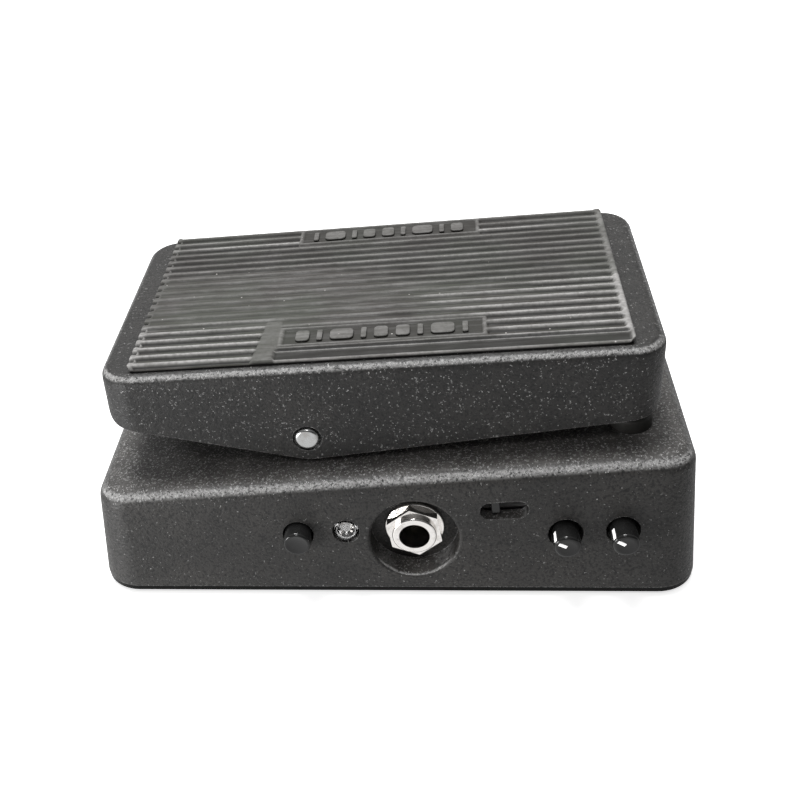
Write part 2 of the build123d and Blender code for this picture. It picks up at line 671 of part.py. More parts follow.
with BuildPart() as rack_guide:
    guide_x = rack_x[1] + GUIDE_GAP
    guide_z = around(PINION_Z, GUIDE_HALF_HEIGHT)
    block((guide_x - GUIDE_CHEEK, guide_x + GUIDE_DEPTH), (GUIDE_Y, BRACKET_FACE_Y), guide_z)
    groove_y = around(0, RACK_HALF_WIDTH + GUIDE_GAP)
    block((PINION_X, guide_x), groove_y, (0, THROUGH), Mode.SUBTRACT)
save(rack_guide, "rack_guide")

# ------------------------------------------------------ sweep potentiometer and its bracket

with BuildPart() as pot_bracket:
    block(BRACKET_SPAN, (BRACKET_FACE_Y, BRACKET_BACK_Y), (BRACKET_FOOT_Z, BRACKET_TOP_Z))
    tab_z = (BRACKET_TOP_Z - BRACKET_THICK, BRACKET_TOP_Z)
    for x in BRACKET_TABS:
        tab_y = (BRACKET_TAB_Y - BRACKET_TAB_HALF, BRACKET_FACE_Y)
        block(around(x, BRACKET_TAB_HALF), tab_y, tab_z)
        rod_z(x, BRACKET_TAB_Y, CLEAR_R, around(BRACKET_TOP_Z, WALL), Mode.SUBTRACT)
    rod_y(PINION_X, PINION_Z, POT_BUSH_R + GLUE_FIT, (0, THROUGH), Mode.SUBTRACT)
save(pot_bracket, "pot_bracket")

with BuildPart() as pot_bracket_screws:
    for x in BRACKET_TABS:
        rod_z(x, BRACKET_TAB_Y, SCREW_R, (tab_z[0], tab_z[1] + SCREW_R + 1))
        rod_z(x, BRACKET_TAB_Y, SCREW_HEAD_R, (tab_z[0] - SCREW_HEAD, tab_z[0]))
save(pot_bracket_screws, "pot_bracket_screws")

with BuildPart() as sweep_pot_body:
    rod_y(PINION_X, PINION_Z, POT_BODY_R, (BRACKET_BACK_Y, BRACKET_BACK_Y + POT_BODY_DEPTH))
    rod_y(PINION_X, PINION_Z, POT_BUSH_R, (POT_BUSH_TIP_Y, BRACKET_BACK_Y))
    terminals_y = BRACKET_BACK_Y + 2 * POT_TERMINALS[1]
    with Locations((PINION_X, terminals_y, PINION_Z - POT_TERMINALS[2] / 2)):
        Box(*POT_TERMINALS)
    shaft_bore_y = (0, BRACKET_BACK_Y + POT_SHAFT_END + SIDE_GAP)
    rod_y(PINION_X, PINION_Z, POT_SHAFT_R + SHAFT_RUN, shaft_bore_y, Mode.SUBTRACT)
save(sweep_pot_body, "sweep_pot_body")

with BuildPart() as sweep_pot_nut:
    with BuildSketch(Plane.XZ.offset(-BRACKET_FACE_Y)):
        with Locations((PINION_X, PINION_Z)):
            RegularPolygon(POT_NUT_HALF_FLATS, 6, major_radius=False)
            Circle(POT_BUSH_R + GLUE_FIT, mode=Mode.SUBTRACT)
    extrude(amount=POT_NUT)
save(sweep_pot_nut, "sweep_pot_nut")

with BuildPart() as sweep_pot_shaft:
    shaft_y = (-PINION_HALF_WIDTH - SIDE_GAP, BRACKET_BACK_Y + POT_SHAFT_END)
    rod_y(PINION_X, PINION_Z, POT_SHAFT_R, shaft_y)
save(sweep_pot_shaft, "sweep_pot_shaft")

# --------------------------------------------------------------------- jacks and power inlet


def jack_body(x, side):
    """A panel jack: a threaded bushing through the floor of the well and a case behind it."""
    with BuildPart() as body:
        rod_y(x, JACK_Z, BUSHING_R, (side * (WELL_BACK_Y - 1), side * JACK_TIP_Y))
        fillet(body.edges().filter_by(GeomType.CIRCLE), radius=BUSHING_ROUND)
        case_y = (side * JACK_CASE_END_Y, side * WELL_BACK_Y)
        block(around(x, JACK_CASE_HALF), case_y, JACK_CASE_Z)
        bore_y = (side * (JACK_TIP_Y - JACK_BORE_LENGTH), side * THROUGH)
        rod_y(x, JACK_Z, JACK_BORE_R, bore_y, Mode.SUBTRACT)
    return body


def jack_washer(x, side):
    """The flat washer on the floor of the well."""
    with BuildPart() as washer:
        rod_y(x, JACK_Z, WASHER_R, (side * WELL_FLOOR_Y, side * (WELL_FLOOR_Y + WASHER_THICK)))
        fillet(washer.edges(), radius=WASHER_ROUND)
        rod_y(x, JACK_Z, BUSHING_HOLE_R, (0, side * THROUGH), Mode.SUBTRACT)
    return washer


def jack_nut(x, side):
    """The hex nut, its outer corners turned off to a cone."""
    back_y = WELL_FLOOR_Y + WASHER_THICK
    with BuildPart() as nut:
        with BuildSketch(Plane.XZ.offset(-side * back_y)):
            with Locations(Location((x, JACK_Z), NUT_TURN - 90)):
                RegularPolygon(NUT_CORNER_R, 6)
        extrude(amount=-side * NUT_THICK)
        with Locations(Location((x, side * (back_y + NUT_THICK / 2), JACK_Z), (side * -90, 0, 0))):
            Cone(NUT_CORNER_R + NUT_THICK / 2, NUT_CORNER_R - SHAFT_RUN, NUT_THICK, mode=Mode.INTERSECT)
        rod_y(x, JACK_Z, BUSHING_R + GLUE_FIT, (0, side * THROUGH), Mode.SUBTRACT)
    return nut


for label, jack_x, jack_side in (("input", INPUT_X, -1), ("output", OUTPUT_X, 1)):
    save(jack_body(jack_x, jack_side), f"{label}_jack_body")
    save(jack_washer(jack_x, jack_side), f"{label}_jack_washer")
    save(jack_nut(jack_x, jack_side), f"{label}_jack_nut")

with BuildPart() as dc_power_inlet:
    mouth_y = INLET_FACE_Y + INLET_FLANGE
    rod_y(INLET_X, INLET_Z, INLET_FLANGE_R, (INLET_FACE_Y, mouth_y))
    fillet(dc_power_inlet.edges().group_by(Axis.Y)[-1], radius=INLET_FLANGE_ROUND)
    rod_y(INLET_X, INLET_Z, INLET_BUSH_R, (INLET_BACK_Y, INLET_FACE_Y))
    floor_y = mouth_y - INLET_DEPTH
    rod_y(INLET_X, INLET_Z, INLET_BORE_R, (floor_y, BLANK_HEIGHT), Mode.SUBTRACT)
    rod_y(INLET_X, INLET_Z, INLET_SHANK_R + GLUE_FIT, (0, floor_y), Mode.SUBTRACT)
    for x in around(INLET_X, INLET_LUG_X):
        with Locations((x, INLET_BACK_Y - INLET_LUG[1] / 2, INLET_Z)):
            Box(*INLET_LUG)
save(dc_power_inlet, "dc_power_inlet")

with BuildPart() as dc_power_pin:
    rod_y(INLET_X, INLET_Z, INLET_PIN_R, (floor_y, mouth_y - 1))
    fillet(dc_power_pin.edges().group_by(Axis.Y)[-1], radius=INLET_PIN_ROUND)
    rod_y(INLET_X, INLET_Z, INLET_SHANK_R, (INLET_BACK_Y, floor_y))
save(dc_power_pin, "dc_power_pin")

with BuildPart() as dc_power_inlet_nut:
    with BuildSketch(Plane.XZ.offset(-INLET_NUT_Y)):
        with Locations((INLET_X, INLET_Z)):
            RegularPolygon(INLET_NUT_HALF_FLATS, 6, major_radius=False)
            Circle(INLET_BUSH_R + GLUE_FIT, mode=Mode.SUBTRACT)
    extrude(amount=-INLET_NUT)
save(dc_power_inlet_nut, "dc_power_inlet_nut")

# ------------------------------------------------------------- controls on the near side

with BuildPart() as boost_button:
    rod_y(BUTTON_X, BUTTON_Z, BUTTON_R, BUTTON_Y)
    fillet(boost_button.edges().group_by(Axis.Y)[0], radius=BUTTON_ROUND)
save(boost_button, "boost_button")

with BuildPart() as boost_switch_body:
    button_case_y = (SWITCH_FRONT_Y, BUTTON_BODY_BACK_Y)
    block(around(BUTTON_X, BUTTON_BODY_HALF), button_case_y, around(BUTTON_Z, BUTTON_BODY_HALF))
    socket_y = (WALL_CUT_Y[0], BUTTON_SOCKET_Y)
    rod_y(BUTTON_X, BUTTON_Z, BUTTON_R + SHAFT_RUN, socket_y, Mode.SUBTRACT)
save(boost_switch_body, "boost_switch_body")

with BuildPart() as status_led:
    dome_y = LED_TIP_Y + LED_R
    rod_y(LED_X, LED_Z, LED_R, (dome_y, LED_FLANGE_Y[1]))
    with Locations((LED_X, dome_y, LED_Z)):
        Sphere(LED_R)
    rod_y(LED_X, LED_Z, LED_FLANGE_R, LED_FLANGE_Y)
    for x in around(LED_X, LED_LEG[0]):
        rod_y(x, LED_Z, LED_LEG[1], (LED_FLANGE_Y[1], LED_LEG[2]))
save(status_led, "status_led")

with BuildPart() as range_switch_body:
    slot_case_z = around(SLOT_Z, SLOT_BODY[1] / 2)
    block(around(SLOT_X, SLOT_BODY[0] / 2), (SWITCH_FRONT_Y, SLOT_BODY_BACK_Y), slot_case_z)
    with BuildSketch(Plane.XZ.offset(-LEVER_Y[1])):
        with Locations(Location((SLOT_X, SLOT_Z), BASE_TOP_TILT)):
            Rectangle(SLOT_SIZE[0], LEVER_SIZE[1] + LEVER_TRACK_GAP)
    extrude(amount=LEVER_Y[1] - WALL_CUT_Y[0], mode=Mode.SUBTRACT)
save(range_switch_body, "range_switch_body")

with BuildPart() as range_switch_lever:
    lever_z = SLOT_Z + (LEVER_X - SLOT_X) * math.tan(math.radians(BASE_TOP_TILT))
    with BuildSketch(Plane.XZ.offset(SIDE_GAP - LEVER_Y[1])):
        with Locations(Location((LEVER_X, lever_z), BASE_TOP_TILT)):
            Rectangle(*LEVER_SIZE)
    extrude(amount=LEVER_Y[1] - LEVER_Y[0] - SIDE_GAP)
    fillet(range_switch_lever.edges().group_by(Axis.Y)[0], radius=LEVER_ROUND)
save(range_switch_lever, "range_switch_lever")

for label, knob_x, knob_z, _, knob_face_y in KNOBS:
    with BuildPart() as knob:
        rod_y(knob_x, knob_z, KNOB_R, (knob_face_y, KNOB_END_Y))
        fillet(knob.edges().group_by(Axis.Y)[0], radius=KNOB_ROUND)
    save(knob, f"{label}_knob")
    with BuildPart() as knob_pot_body:
        knob_case_y = (SWITCH_FRONT_Y, KNOB_BODY_BACK_Y)
        block(around(knob_x, KNOB_BODY[0] / 2), knob_case_y, around(knob_z, KNOB_BODY[1] / 2))
        knob_socket_y = (WALL_CUT_Y[0], KNOB_SOCKET_Y)
        rod_y(knob_x, knob_z, KNOB_R + SHAFT_RUN, knob_socket_y, Mode.SUBTRACT)
    save(knob_pot_body, f"{label}_pot_body")

with BuildPart() as side_control_board:
    block(*SIDE_BOARD)
save(side_control_board, "side_control_board")

# ------------------------------------------------------------------------------ foot switch

with BuildPart() as footswitch_body:
    foot_case_y = around(0, FOOT_BODY_HALF)
    block(around(FOOT_X, FOOT_BODY_HALF), foot_case_y, FOOT_BODY_Z)
    rod_z(FOOT_X, 0, FOOT_BUSH_R, (FOOT_BODY_Z[1], FOOT_BUSH_TOP_Z))
    with Locations((FOOT_X, 0, FOOT_BODY_Z[0] - FOOT_LUG[2] / 2)):
        with GridLocations(*FOOT_LUG_PITCH, 3, 3):
            Box(*FOOT_LUG)
    rod_z(FOOT_X, 0, PLUNGER_R + SHAFT_RUN, (FOOT_BORE_Z, BLANK_HEIGHT), Mode.SUBTRACT)
save(footswitch_body, "footswitch_body")

with BuildPart() as footswitch_washer:
    rod_z(FOOT_X, 0, FOOT_WASHER_R, (FOOT_SPOT_Z, FOOT_SPOT_Z + FOOT_WASHER))
    rod_z(FOOT_X, 0, FOOT_BUSH_R + SHAFT_RUN, (0, BLANK_HEIGHT), Mode.SUBTRACT)
save(footswitch_washer, "footswitch_washer")

with BuildPart() as footswitch_nut:
    with BuildSketch(Plane.XY.offset(FOOT_SPOT_Z + FOOT_WASHER)):
        with Locations((FOOT_X, 0)):
            RegularPolygon(FOOT_NUT_HALF_FLATS, 6, major_radius=False)
            Circle(FOOT_BUSH_R + GLUE_FIT, mode=Mode.SUBTRACT)
    extrude(amount=FOOT_NUT)
save(footswitch_nut, "footswitch_nut")

with BuildPart() as footswitch_plunger:
    rod_z(FOOT_X, 0, PLUNGER_R, PLUNGER_Z)
    fillet(footswitch_plunger.edges().group_by(Axis.Z)[-1], radius=PLUNGER_ROUND)
save(footswitch_plunger, "footswitch_plunger")

with BuildPart() as switch_pad:
    rod_z(FOOT_X, 0, SWITCH_PAD_R, SWITCH_PAD_Z)
save(switch_pad, "switch_pad")

# ----------------------------------------------------------------------- main circuit board

with BuildPart() as circuit_board:
    block(*BOARD_SPAN, (BOARD_Z, BOARD_FACE_Z))
    for x, y in BOARD_POSTS:
        rod_z(x, y, CLEAR_R, (0, THROUGH), Mode.SUBTRACT)
save(circuit_board, "circuit_board")

with BuildPart() as circuit_board_screws:
    for x, y in BOARD_POSTS:
        rod_z(x, y, SCREW_R, (BOARD_Z, BOARD_FACE_Z + SCREW_BITE))
        rod_z(x, y, SCREW_HEAD_R, (BOARD_Z - SCREW_HEAD, BOARD_Z))
save(circuit_board_screws, "circuit_board_screws")

with BuildPart() as inductor:
    x, y, radius, height = INDUCTOR
    rod_z(x, y, radius, (BOARD_FACE_Z, BOARD_FACE_Z + height))
    fillet(inductor.edges().group_by(Axis.Z)[-1], radius=radius / 8)
save(inductor, "inductor")

with BuildPart() as capacitors:
    radius, height = CAPACITOR_SIZE
    for x, y in CAPACITORS:
        rod_z(x, y, radius, (BOARD_FACE_Z, BOARD_FACE_Z + height))
    fillet(capacitors.edges().group_by(Axis.Z)[-1], radius=radius / 5)
save(capacitors, "capacitors")

with BuildPart() as chips:
    for x in CHIP_XS:
        with Locations((x, CHIP_Y, BOARD_FACE_Z + CHIP_LIFT + CHIP_SIZE[2] / 2)):
            Box(*CHIP_SIZE)
        with Locations((x, CHIP_Y, BOARD_FACE_Z + CHIP_PIN[2] / 2)):
            with GridLocations(CHIP_SIZE[0] + CHIP_PIN[0], CHIP_PIN_PITCH, 2, 4):
                Box(*CHIP_PIN)
save(chips, "chips")
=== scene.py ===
"""Looks of a rocking-treadle effects pedal: materials, ribbed pad, marks, lamp, light and camera."""

import json
import math

import bmesh
import bpy
import numpy as np
from mathutils import Matrix, Vector


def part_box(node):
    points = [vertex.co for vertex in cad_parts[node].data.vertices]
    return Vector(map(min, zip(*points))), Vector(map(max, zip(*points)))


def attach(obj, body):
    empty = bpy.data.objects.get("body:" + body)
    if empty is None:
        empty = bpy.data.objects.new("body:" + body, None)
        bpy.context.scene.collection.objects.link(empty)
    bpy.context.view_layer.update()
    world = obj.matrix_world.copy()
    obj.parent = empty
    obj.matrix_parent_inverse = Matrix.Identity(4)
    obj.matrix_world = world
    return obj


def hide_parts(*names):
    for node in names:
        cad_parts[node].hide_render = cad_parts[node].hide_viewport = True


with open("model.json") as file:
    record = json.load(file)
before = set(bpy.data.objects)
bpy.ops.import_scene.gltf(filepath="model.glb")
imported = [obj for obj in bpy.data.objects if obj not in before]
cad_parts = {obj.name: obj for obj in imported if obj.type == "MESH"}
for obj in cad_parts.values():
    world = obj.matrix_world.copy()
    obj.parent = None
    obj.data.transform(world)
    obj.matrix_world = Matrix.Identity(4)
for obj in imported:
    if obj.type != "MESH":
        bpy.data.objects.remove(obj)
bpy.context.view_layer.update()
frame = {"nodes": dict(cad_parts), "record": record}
nodes = frame["nodes"]

MM = 0.001

# Camera: the photograph's viewing angle.
CAMERA_PLACE = Vector((11.7, -216.98, 177.71)) * MM
CAMERA_YAW = -6.152  # degrees from +Y towards +X
CAMERA_PITCH = 32.257
CAMERA_ROLL = -4.205
CAMERA_LENS = 50.662
CAMERA_SHIFT = (0.0735, -0.075)
CAMERA_CLIP = (0.01, 20)

# Pad, in mm. Along the slope towards the toe, x is the row's own x at the pad's middle and u is
# measured from that middle. Across it, v runs from the near side (-) to the far side (+).
RIB_PITCH = 2.92
RIB_PHASE = -24.75  # v of the first crest
PAD_SHEET = 1.5  # height of the unworn sheet above the treadle
GROOVE_DEPTH = 0.7
CREST_HALF = 0.30
PAD_CORNER = 1.3
PANEL_DEPTH = 0.5
PAD_STEP = (0.4, RIB_PITCH / 15)  # the mesh's grid, along and across
RIB_RUN = (-52.2, 48.0)  # x where the channels between the ribs begin and end
PANEL_X = (-22.4, 20.5)
NEAR_PANEL_V = (-23.9, -16.8)
FAR_PANEL_V = (21.0, 28.2)
STRIP_V = -24.9  # the flat strip is on the near side of this line
BLOCK_END_X = -26.2  # where the near block of ribs ends, before the heel band
# Where along x each crest starts to be crisp and to carry its painted highlight, counted from the near edge.
FRESH_RIB_STARTS = (22.7, 22.7, 21.0, 17.0, 13.0, 8.0, 7.0, 31.0)
# This crest gets a stronger painted highlight.
BRIGHT_RIB = 16  # the crest just below the far panel
WORN_DEPTH = 0.62  # share of a channel's depth lost in the worn middle
MARK_LENGTHS = {"stud": 3.0, "bar": 1.2, "plate": 5.0}
MARK_GAP = 1.5
MARK_TALL = 0.56  # share of the panel's width
MARK_CORNER = 0.28  # corner radius, as a share of a mark's smaller side
MARK_MARGIN = 3.4  # from the panel's heel end to the first mark
MARK_SHOULDER = ((0.0, 0.0), (0.03, 0.6), (0.10, 0.9), (0.22, 1.0))  # inset in mm, share of the height
# Strength of the painted highlight on the marks' tops.
MARK_PROUD = 0.30


# ------------------------------------------------------------------------------- materials


class Surface:
    """A material under construction. Lengths in its textures are in millimetres."""

    def __init__(self, name, **values):
        self.material = bpy.data.materials.new(name)
        self.material.use_nodes = True
        self.tree = self.material.node_tree
        self.shader = self.tree.nodes["Principled BSDF"]
        for socket, value in values.items():
            self.shader.inputs[socket.replace("_", " ")].default_value = value
        self.place = self.node("ShaderNodeTexCoord").outputs["Object"]
        self.normal = None

    def node(self, kind, inputs=None, **settings):
        """A new node, with its settings and with its inputs set or linked."""
        made = self.tree.nodes.new(kind)
        for name, value in settings.items():
            setattr(made, name, value)
        for socket, value in (inputs or {}).items():
            if isinstance(value, bpy.types.NodeSocket):
                self.tree.links.new(value, made.inputs[socket])
            else:
                made.inputs[socket].default_value = value
        return made

    def noise(self, size, detail=2.0, roughness=0.5, stretch=(1, 1, 1)):
        """Noise from 0 to 1 whose features are about size millimetres across."""
        vector = self.place
        if stretch != (1, 1, 1):
            vector = self.node("ShaderNodeMapping", {0: vector, 3: stretch}).outputs[0]
        inputs = {"Vector": vector, "Scale": 1 / (size * MM), "Detail": detail, "Roughness": roughness}
        return self.node("ShaderNodeTexNoise", inputs).outputs["Fac"]

    def band(self, value, low, high, to_low=0.0, to_high=1.0):
        """The value moved from one range to another, smoothly and clamped."""
        inputs = {0: value, 1: low, 2: high, 3: to_low, 4: to_high}
        made = self.node("ShaderNodeMapRange", inputs, interpolation_type="SMOOTHSTEP")
        return made.outputs[0]

    def math(self, operation, a, b=0.0):
        return self.node("ShaderNodeMath", {0: a, 1: b}, operation=operation).outputs[0]

    def mix(self, share, a, b):
        """A colour between a and b."""
        made = self.node("ShaderNodeMix", {0: share}, data_type="RGBA")
        for index, colour in ((6, a), (7, b)):
            if isinstance(colour, bpy.types.NodeSocket):
                self.tree.links.new(colour, made.inputs[index])
            else:
                made.inputs[index].default_value = (*colour, 1)
        return made.outputs[2]

    def flecks(self, spacing, share, reach=0.26):
        """Small round flecks on a share of scattered points, from 0 to 1, each with its own strength."""
        inputs = {"Vector": self.place, "Scale": 1 / (spacing * MM)}
        points = self.node("ShaderNodeTexVoronoi", inputs, feature="F1")
        parts = self.node("ShaderNodeSeparateXYZ", {0: points.outputs["Color"]})
        chosen = self.math("LESS_THAN", parts.outputs[0], share)
        spot = self.band(points.outputs["Distance"], reach * 0.6, reach, 1.0, 0.0)
        strength = self.band(parts.outputs[1], 0.0, 1.0, 0.25, 1.0)
        return self.math("MULTIPLY", self.math("MULTIPLY", chosen, spot), strength)

    def strokes(self, size, amount):
        """Short curled strokes, as light catches on wrinkles. The amount, 0 to 1, says how many."""
        lines = self.noise(size, 2.0, 0.6)
        off_line = self.math("ABSOLUTE", self.math("SUBTRACT", lines, 0.5))
        ridge = self.band(off_line, 0.0, 0.05, 1.0, 0.0)
        patches = self.math("ADD", self.noise(size * 1.7, 2.0, 0.5), self.math("MULTIPLY", amount, 0.34))
        return self.math("MULTIPLY", ridge, self.band(patches, 0.64, 0.78))

    def softened(self, radius):
        """The normal with sharp edges rounded over, and how much of an edge there is."""
        geometry = self.node("ShaderNodeNewGeometry")
        rounded = self.node("ShaderNodeBevel", {"Radius": radius * MM}, samples=4).outputs[0]
        inputs = {0: rounded, 1: geometry.outputs["True Normal"]}
        alike = self.node("ShaderNodeVectorMath", inputs, operation="DOT_PRODUCT").outputs["Value"]
        return rounded, self.band(alike, 0.80, 0.985, 1.0, 0.0)

    def upness(self):
        """1 where the surface faces up and 0 where it is upright, in the row frame."""
        normal = self.node("ShaderNodeNewGeometry").outputs["Normal"]
        return self.node("ShaderNodeSeparateXYZ", {0: normal}).outputs[2]

    def nearness(self):
        """1 where the surface faces the near side (-Y) and 0 where it is square to it, in the row frame."""
        normal = self.node("ShaderNodeNewGeometry").outputs["Normal"]
        return self.math("MULTIPLY", self.node("ShaderNodeSeparateXYZ", {0: normal}).outputs[1], -1.0)

    def attribute(self, name):
        """A value stored on the mesh's points."""
        return self.node("ShaderNodeAttribute", attribute_name=name).outputs["Fac"]

    def bump(self, height, depth, strength=1.0):
        """Adds relief of a depth in millimetres over what is already there."""
        inputs = {"Height": height, "Distance": depth * MM, "Strength": strength}
        if self.normal is not None:
            inputs["Normal"] = self.normal
        self.normal = self.node("ShaderNodeBump", inputs).outputs[0]
        self.tree.links.new(self.normal, self.shader.inputs["Normal"])

    def colour(self, value):
        self.tree.links.new(value, self.shader.inputs["Base Color"])

    def rough(self, value):
        self.tree.links.new(value, self.shader.inputs["Roughness"])


def grey(value, warmth=0.0):
    """A linear colour that is nearly neutral."""
    return (value * (1 + warmth), value, value * (1 - warmth))


def wrinkle_coat(name, tone, share, top_share, dust_and_sheen):
    """Black wrinkle powder coat: fine grains, painted glints on the wrinkles, worn edges with a painted
    highlight along the near upper edges, and a haze of dust and painted sheen on top.
    """
    s = Surface(name, Specular_IOR_Level=0.42)
    grain = s.noise(0.55, 3.0, 0.65)
    fine = s.noise(0.22, 2.0, 0.6)
    broad = s.noise(16.0, 3.0, 0.55)
    rounded, edge = s.softened(0.35)
    s.normal = rounded
    up = s.upness()
    # Painted highlight, with some wear, on the rounded upper edges, mostly on the near side.
    shoulder = s.math("MULTIPLY", s.band(up, 0.42, 0.72), s.band(up, 0.80, 0.95, 1.0, 0.0))
    shoulder = s.math("MULTIPLY", shoulder, s.band(s.nearness(), 0.05, 0.45, 0.35, 1.0))
    flat = s.band(up, 0.80, 0.995)
    body = s.mix(s.band(broad, 0.35, 0.68), grey(tone, 0.05), grey(tone * 1.5, 0.07))
    body = s.mix(s.band(grain, 0.38, 0.52), grey(tone * 0.35, 0.02), body)
    # Upward faces lighter: dust, and a painted sheen.
    level = s.band(s.noise(7.0, 4.0, 0.6), 0.30, 0.75, 0.4, 1.0)
    body = s.mix(s.math("MULTIPLY", s.math("MULTIPLY", flat, level), dust_and_sheen), body, grey(0.22, 0.05))
    # Worn edges, and the painted highlight on the near upper edges, in a lighter grey.
    edge_wear_and_highlight = s.math("MAXIMUM", s.math("MULTIPLY", shoulder, 0.75), s.math("MULTIPLY", edge, 0.30))
    body = s.mix(s.math("MULTIPLY", edge_wear_and_highlight, s.band(grain, 0.30, 0.58)), body, grey(0.38, 0.01))
    # Painted glints: flecks and wrinkle strokes, densest on the highlighted edges and on upward faces.
    amount = s.math("ADD", s.math("MULTIPLY", s.math("MAXIMUM", shoulder, edge), 0.65), share)
    amount = s.math("ADD", s.math("MULTIPLY", flat, top_share), amount)
    spots = s.flecks(0.48, s.math("MULTIPLY", amount, 0.35), 0.30)
    bright = s.math("MAXIMUM", s.strokes(0.34, amount), spots)
    body = s.mix(s.math("MULTIPLY", bright, 0.9), body, grey(0.66, 0.01))
    s.colour(body)
    s.rough(s.band(s.math("ADD", grain, fine), 0.7, 1.3, 0.58, 0.34))
    s.bump(s.noise(1.6, 2.0, 0.5), 0.12, 0.7)
    s.bump(grain, 0.16, 0.9)
    s.bump(fine, 0.05, 0.8)
    return s.material


def rubber(name, tone, crest_highlight_tone, dust, gloss=0.3):
    """Moulded rubber: painted shade in the channels at the foot of each crest, a painted highlight where it
    stands proud, and dust.
    """
    s = Surface(name, Specular_IOR_Level=gloss)
    streaks = s.noise(2.2, 5.0, 0.65, stretch=(0.22, 1.8, 1.0))
    blotches = s.noise(20.0, 3.0, 0.55)
    olive = (tone * 1.25, tone * 1.30, tone * 1.10)
    body = s.mix(s.band(blotches, 0.35, 0.65), grey(tone, 0.08), olive)
    body = s.mix(s.band(streaks, 0.42, 0.72, 0.0, 0.35), body, grey(crest_highlight_tone * 0.5, 0.02))
    # Where it stands proud, and most where the crests are crisp, the rubber is painted lighter: a painted
    # highlight, broken into patches.
    proud = s.attribute("proud")
    patchy = s.band(s.noise(0.9, 3.0, 0.6), 0.3, 0.6, 0.6, 1.0)
    broken = s.math("MULTIPLY", s.band(streaks, 0.25, 0.6, 0.5, 1.0), patchy)
    worn = s.math("MULTIPLY", proud, broken)
    body = s.mix(worn, body, grey(crest_highlight_tone, 0.02))
    # Painted shade at the foot of each crest, round the marks, in the recesses and on the underside.
    body = s.mix(s.attribute("foot"), body, grey(tone * 0.15))
    body = s.mix(s.flecks(1.1, dust, 0.2), body, grey(0.55, 0.04))
    s.colour(body)
    s.rough(s.band(s.noise(4.0, 4.0, 0.6), 0.3, 0.7, 0.42, 0.64))
    s.bump(s.noise(0.5, 3.0, 0.6), 0.04, 0.7)
    s.bump(streaks, 0.05, 0.5)
    return s.material


def plated(name, tone, low, high, brushed=0.0, warmth=0.0):
    """Bright plating or turned steel with faint scratches and tarnish, rough from low to high."""
    s = Surface(name, Metallic=1.0)
    haze = s.noise(2.2, 4.0, 0.6)
    s.colour(s.mix(s.band(haze, 0.45, 0.8), grey(tone, warmth), grey(tone * 0.72, 0.05)))
    scratches = s.noise(0.35, 3.0, 0.6, stretch=(1.0, 1.0, 6.0))
    s.rough(s.band(s.math("ADD", haze, scratches), 0.7, 1.4, low, high))
    s.bump(scratches, 0.004 + brushed, 0.5)
    return s.material


def moulding(name, tone, low, high, warmth=0.0, grain=0.01, glow=0.0):
    """Moulded plastic with faint flow marks, scuffs and a fine grain, rough from low to high."""
    s = Surface(name, Specular_IOR_Level=0.42, Emission_Color=(1, 1, 1, 1), Emission_Strength=glow)
    flow = s.noise(5.0, 3.0, 0.55)
    body = s.mix(s.band(flow, 0.35, 0.7), grey(tone, warmth), grey(tone * 1.3 + 0.004, warmth))
    scuffs = s.band(s.noise(0.7, 4.0, 0.7, stretch=(1.0, 1.0, 3.0)), 0.62, 0.74)
    s.colour(s.mix(s.math("MULTIPLY", scuffs, 0.25), body, grey(min(0.8, tone + 0.16), warmth)))
    s.rough(s.band(s.noise(1.2, 3.0, 0.6), 0.35, 0.7, low, high))
    s.bump(s.noise(0.4, 2.0, 0.5), grain, 0.5)
    return s.material


def solid_colour(name, dark, light, low, high, size=1.5):
    """A coloured part: solder mask, tape or lacquer, with soft mottling."""
    s = Surface(name)
    s.colour(s.mix(s.band(s.noise(size, 4.0, 0.6), 0.35, 0.65), dark, light))
    s.rough(s.band(s.noise(size * 0.6, 3.0, 0.6), 0.35, 0.65, low, high))
    s.bump(s.noise(size * 0.4, 3.0, 0.6), 0.02, 0.5)
    return s.material


def lens_material(name):
    """Water-clear resin with faint flow lines."""
    s = Surface(name, Transmission_Weight=1.0, IOR=1.5, Roughness=0.04)
    s.colour(s.mix(s.band(s.noise(1.0, 2.0, 0.5), 0.3, 0.7), grey(0.80), grey(0.62, 0.02)))
    s.bump(s.noise(0.8, 2.0, 0.5), 0.01, 0.4)
    return s.material


coat = wrinkle_coat("base_wrinkle_coat", tone=0.022, share=0.02, top_share=0.40, dust_and_sheen=0.34)
treadle_coat = wrinkle_coat("treadle_wrinkle_coat", tone=0.013, share=0.13, top_share=-0.03, dust_and_sheen=0.06)
pad_rubber = rubber("pad_rubber", tone=0.056, crest_highlight_tone=0.420, dust=0.030, gloss=0.22)
stop_rubber = rubber("stop_rubber", tone=0.016, crest_highlight_tone=0.060, dust=0.010)
mat_rubber = rubber("mat_rubber", tone=0.004, crest_highlight_tone=0.020, dust=0.004, gloss=0.08)
nickel = plated("bright_nickel", tone=0.95, low=0.08, high=0.24, warmth=0.03)
steel = plated("turned_steel", tone=0.58, low=0.28, high=0.50, brushed=0.004)
zinc = plated("black_zinc", tone=0.015, low=0.35, high=0.55)
lamp_metal = plated("lamp_metal", tone=0.30, low=0.20, high=0.40)
aluminium = plated("bare_aluminium", tone=0.70, low=0.35, high=0.55, brushed=0.004)
gloss_black = moulding("gloss_black", tone=0.010, low=0.06, high=0.18)
matt_black = moulding("matt_black", tone=0.025, low=0.45, high=0.65)
nylon = moulding("natural_nylon", tone=0.62, low=0.40, high=0.55, warmth=0.05)
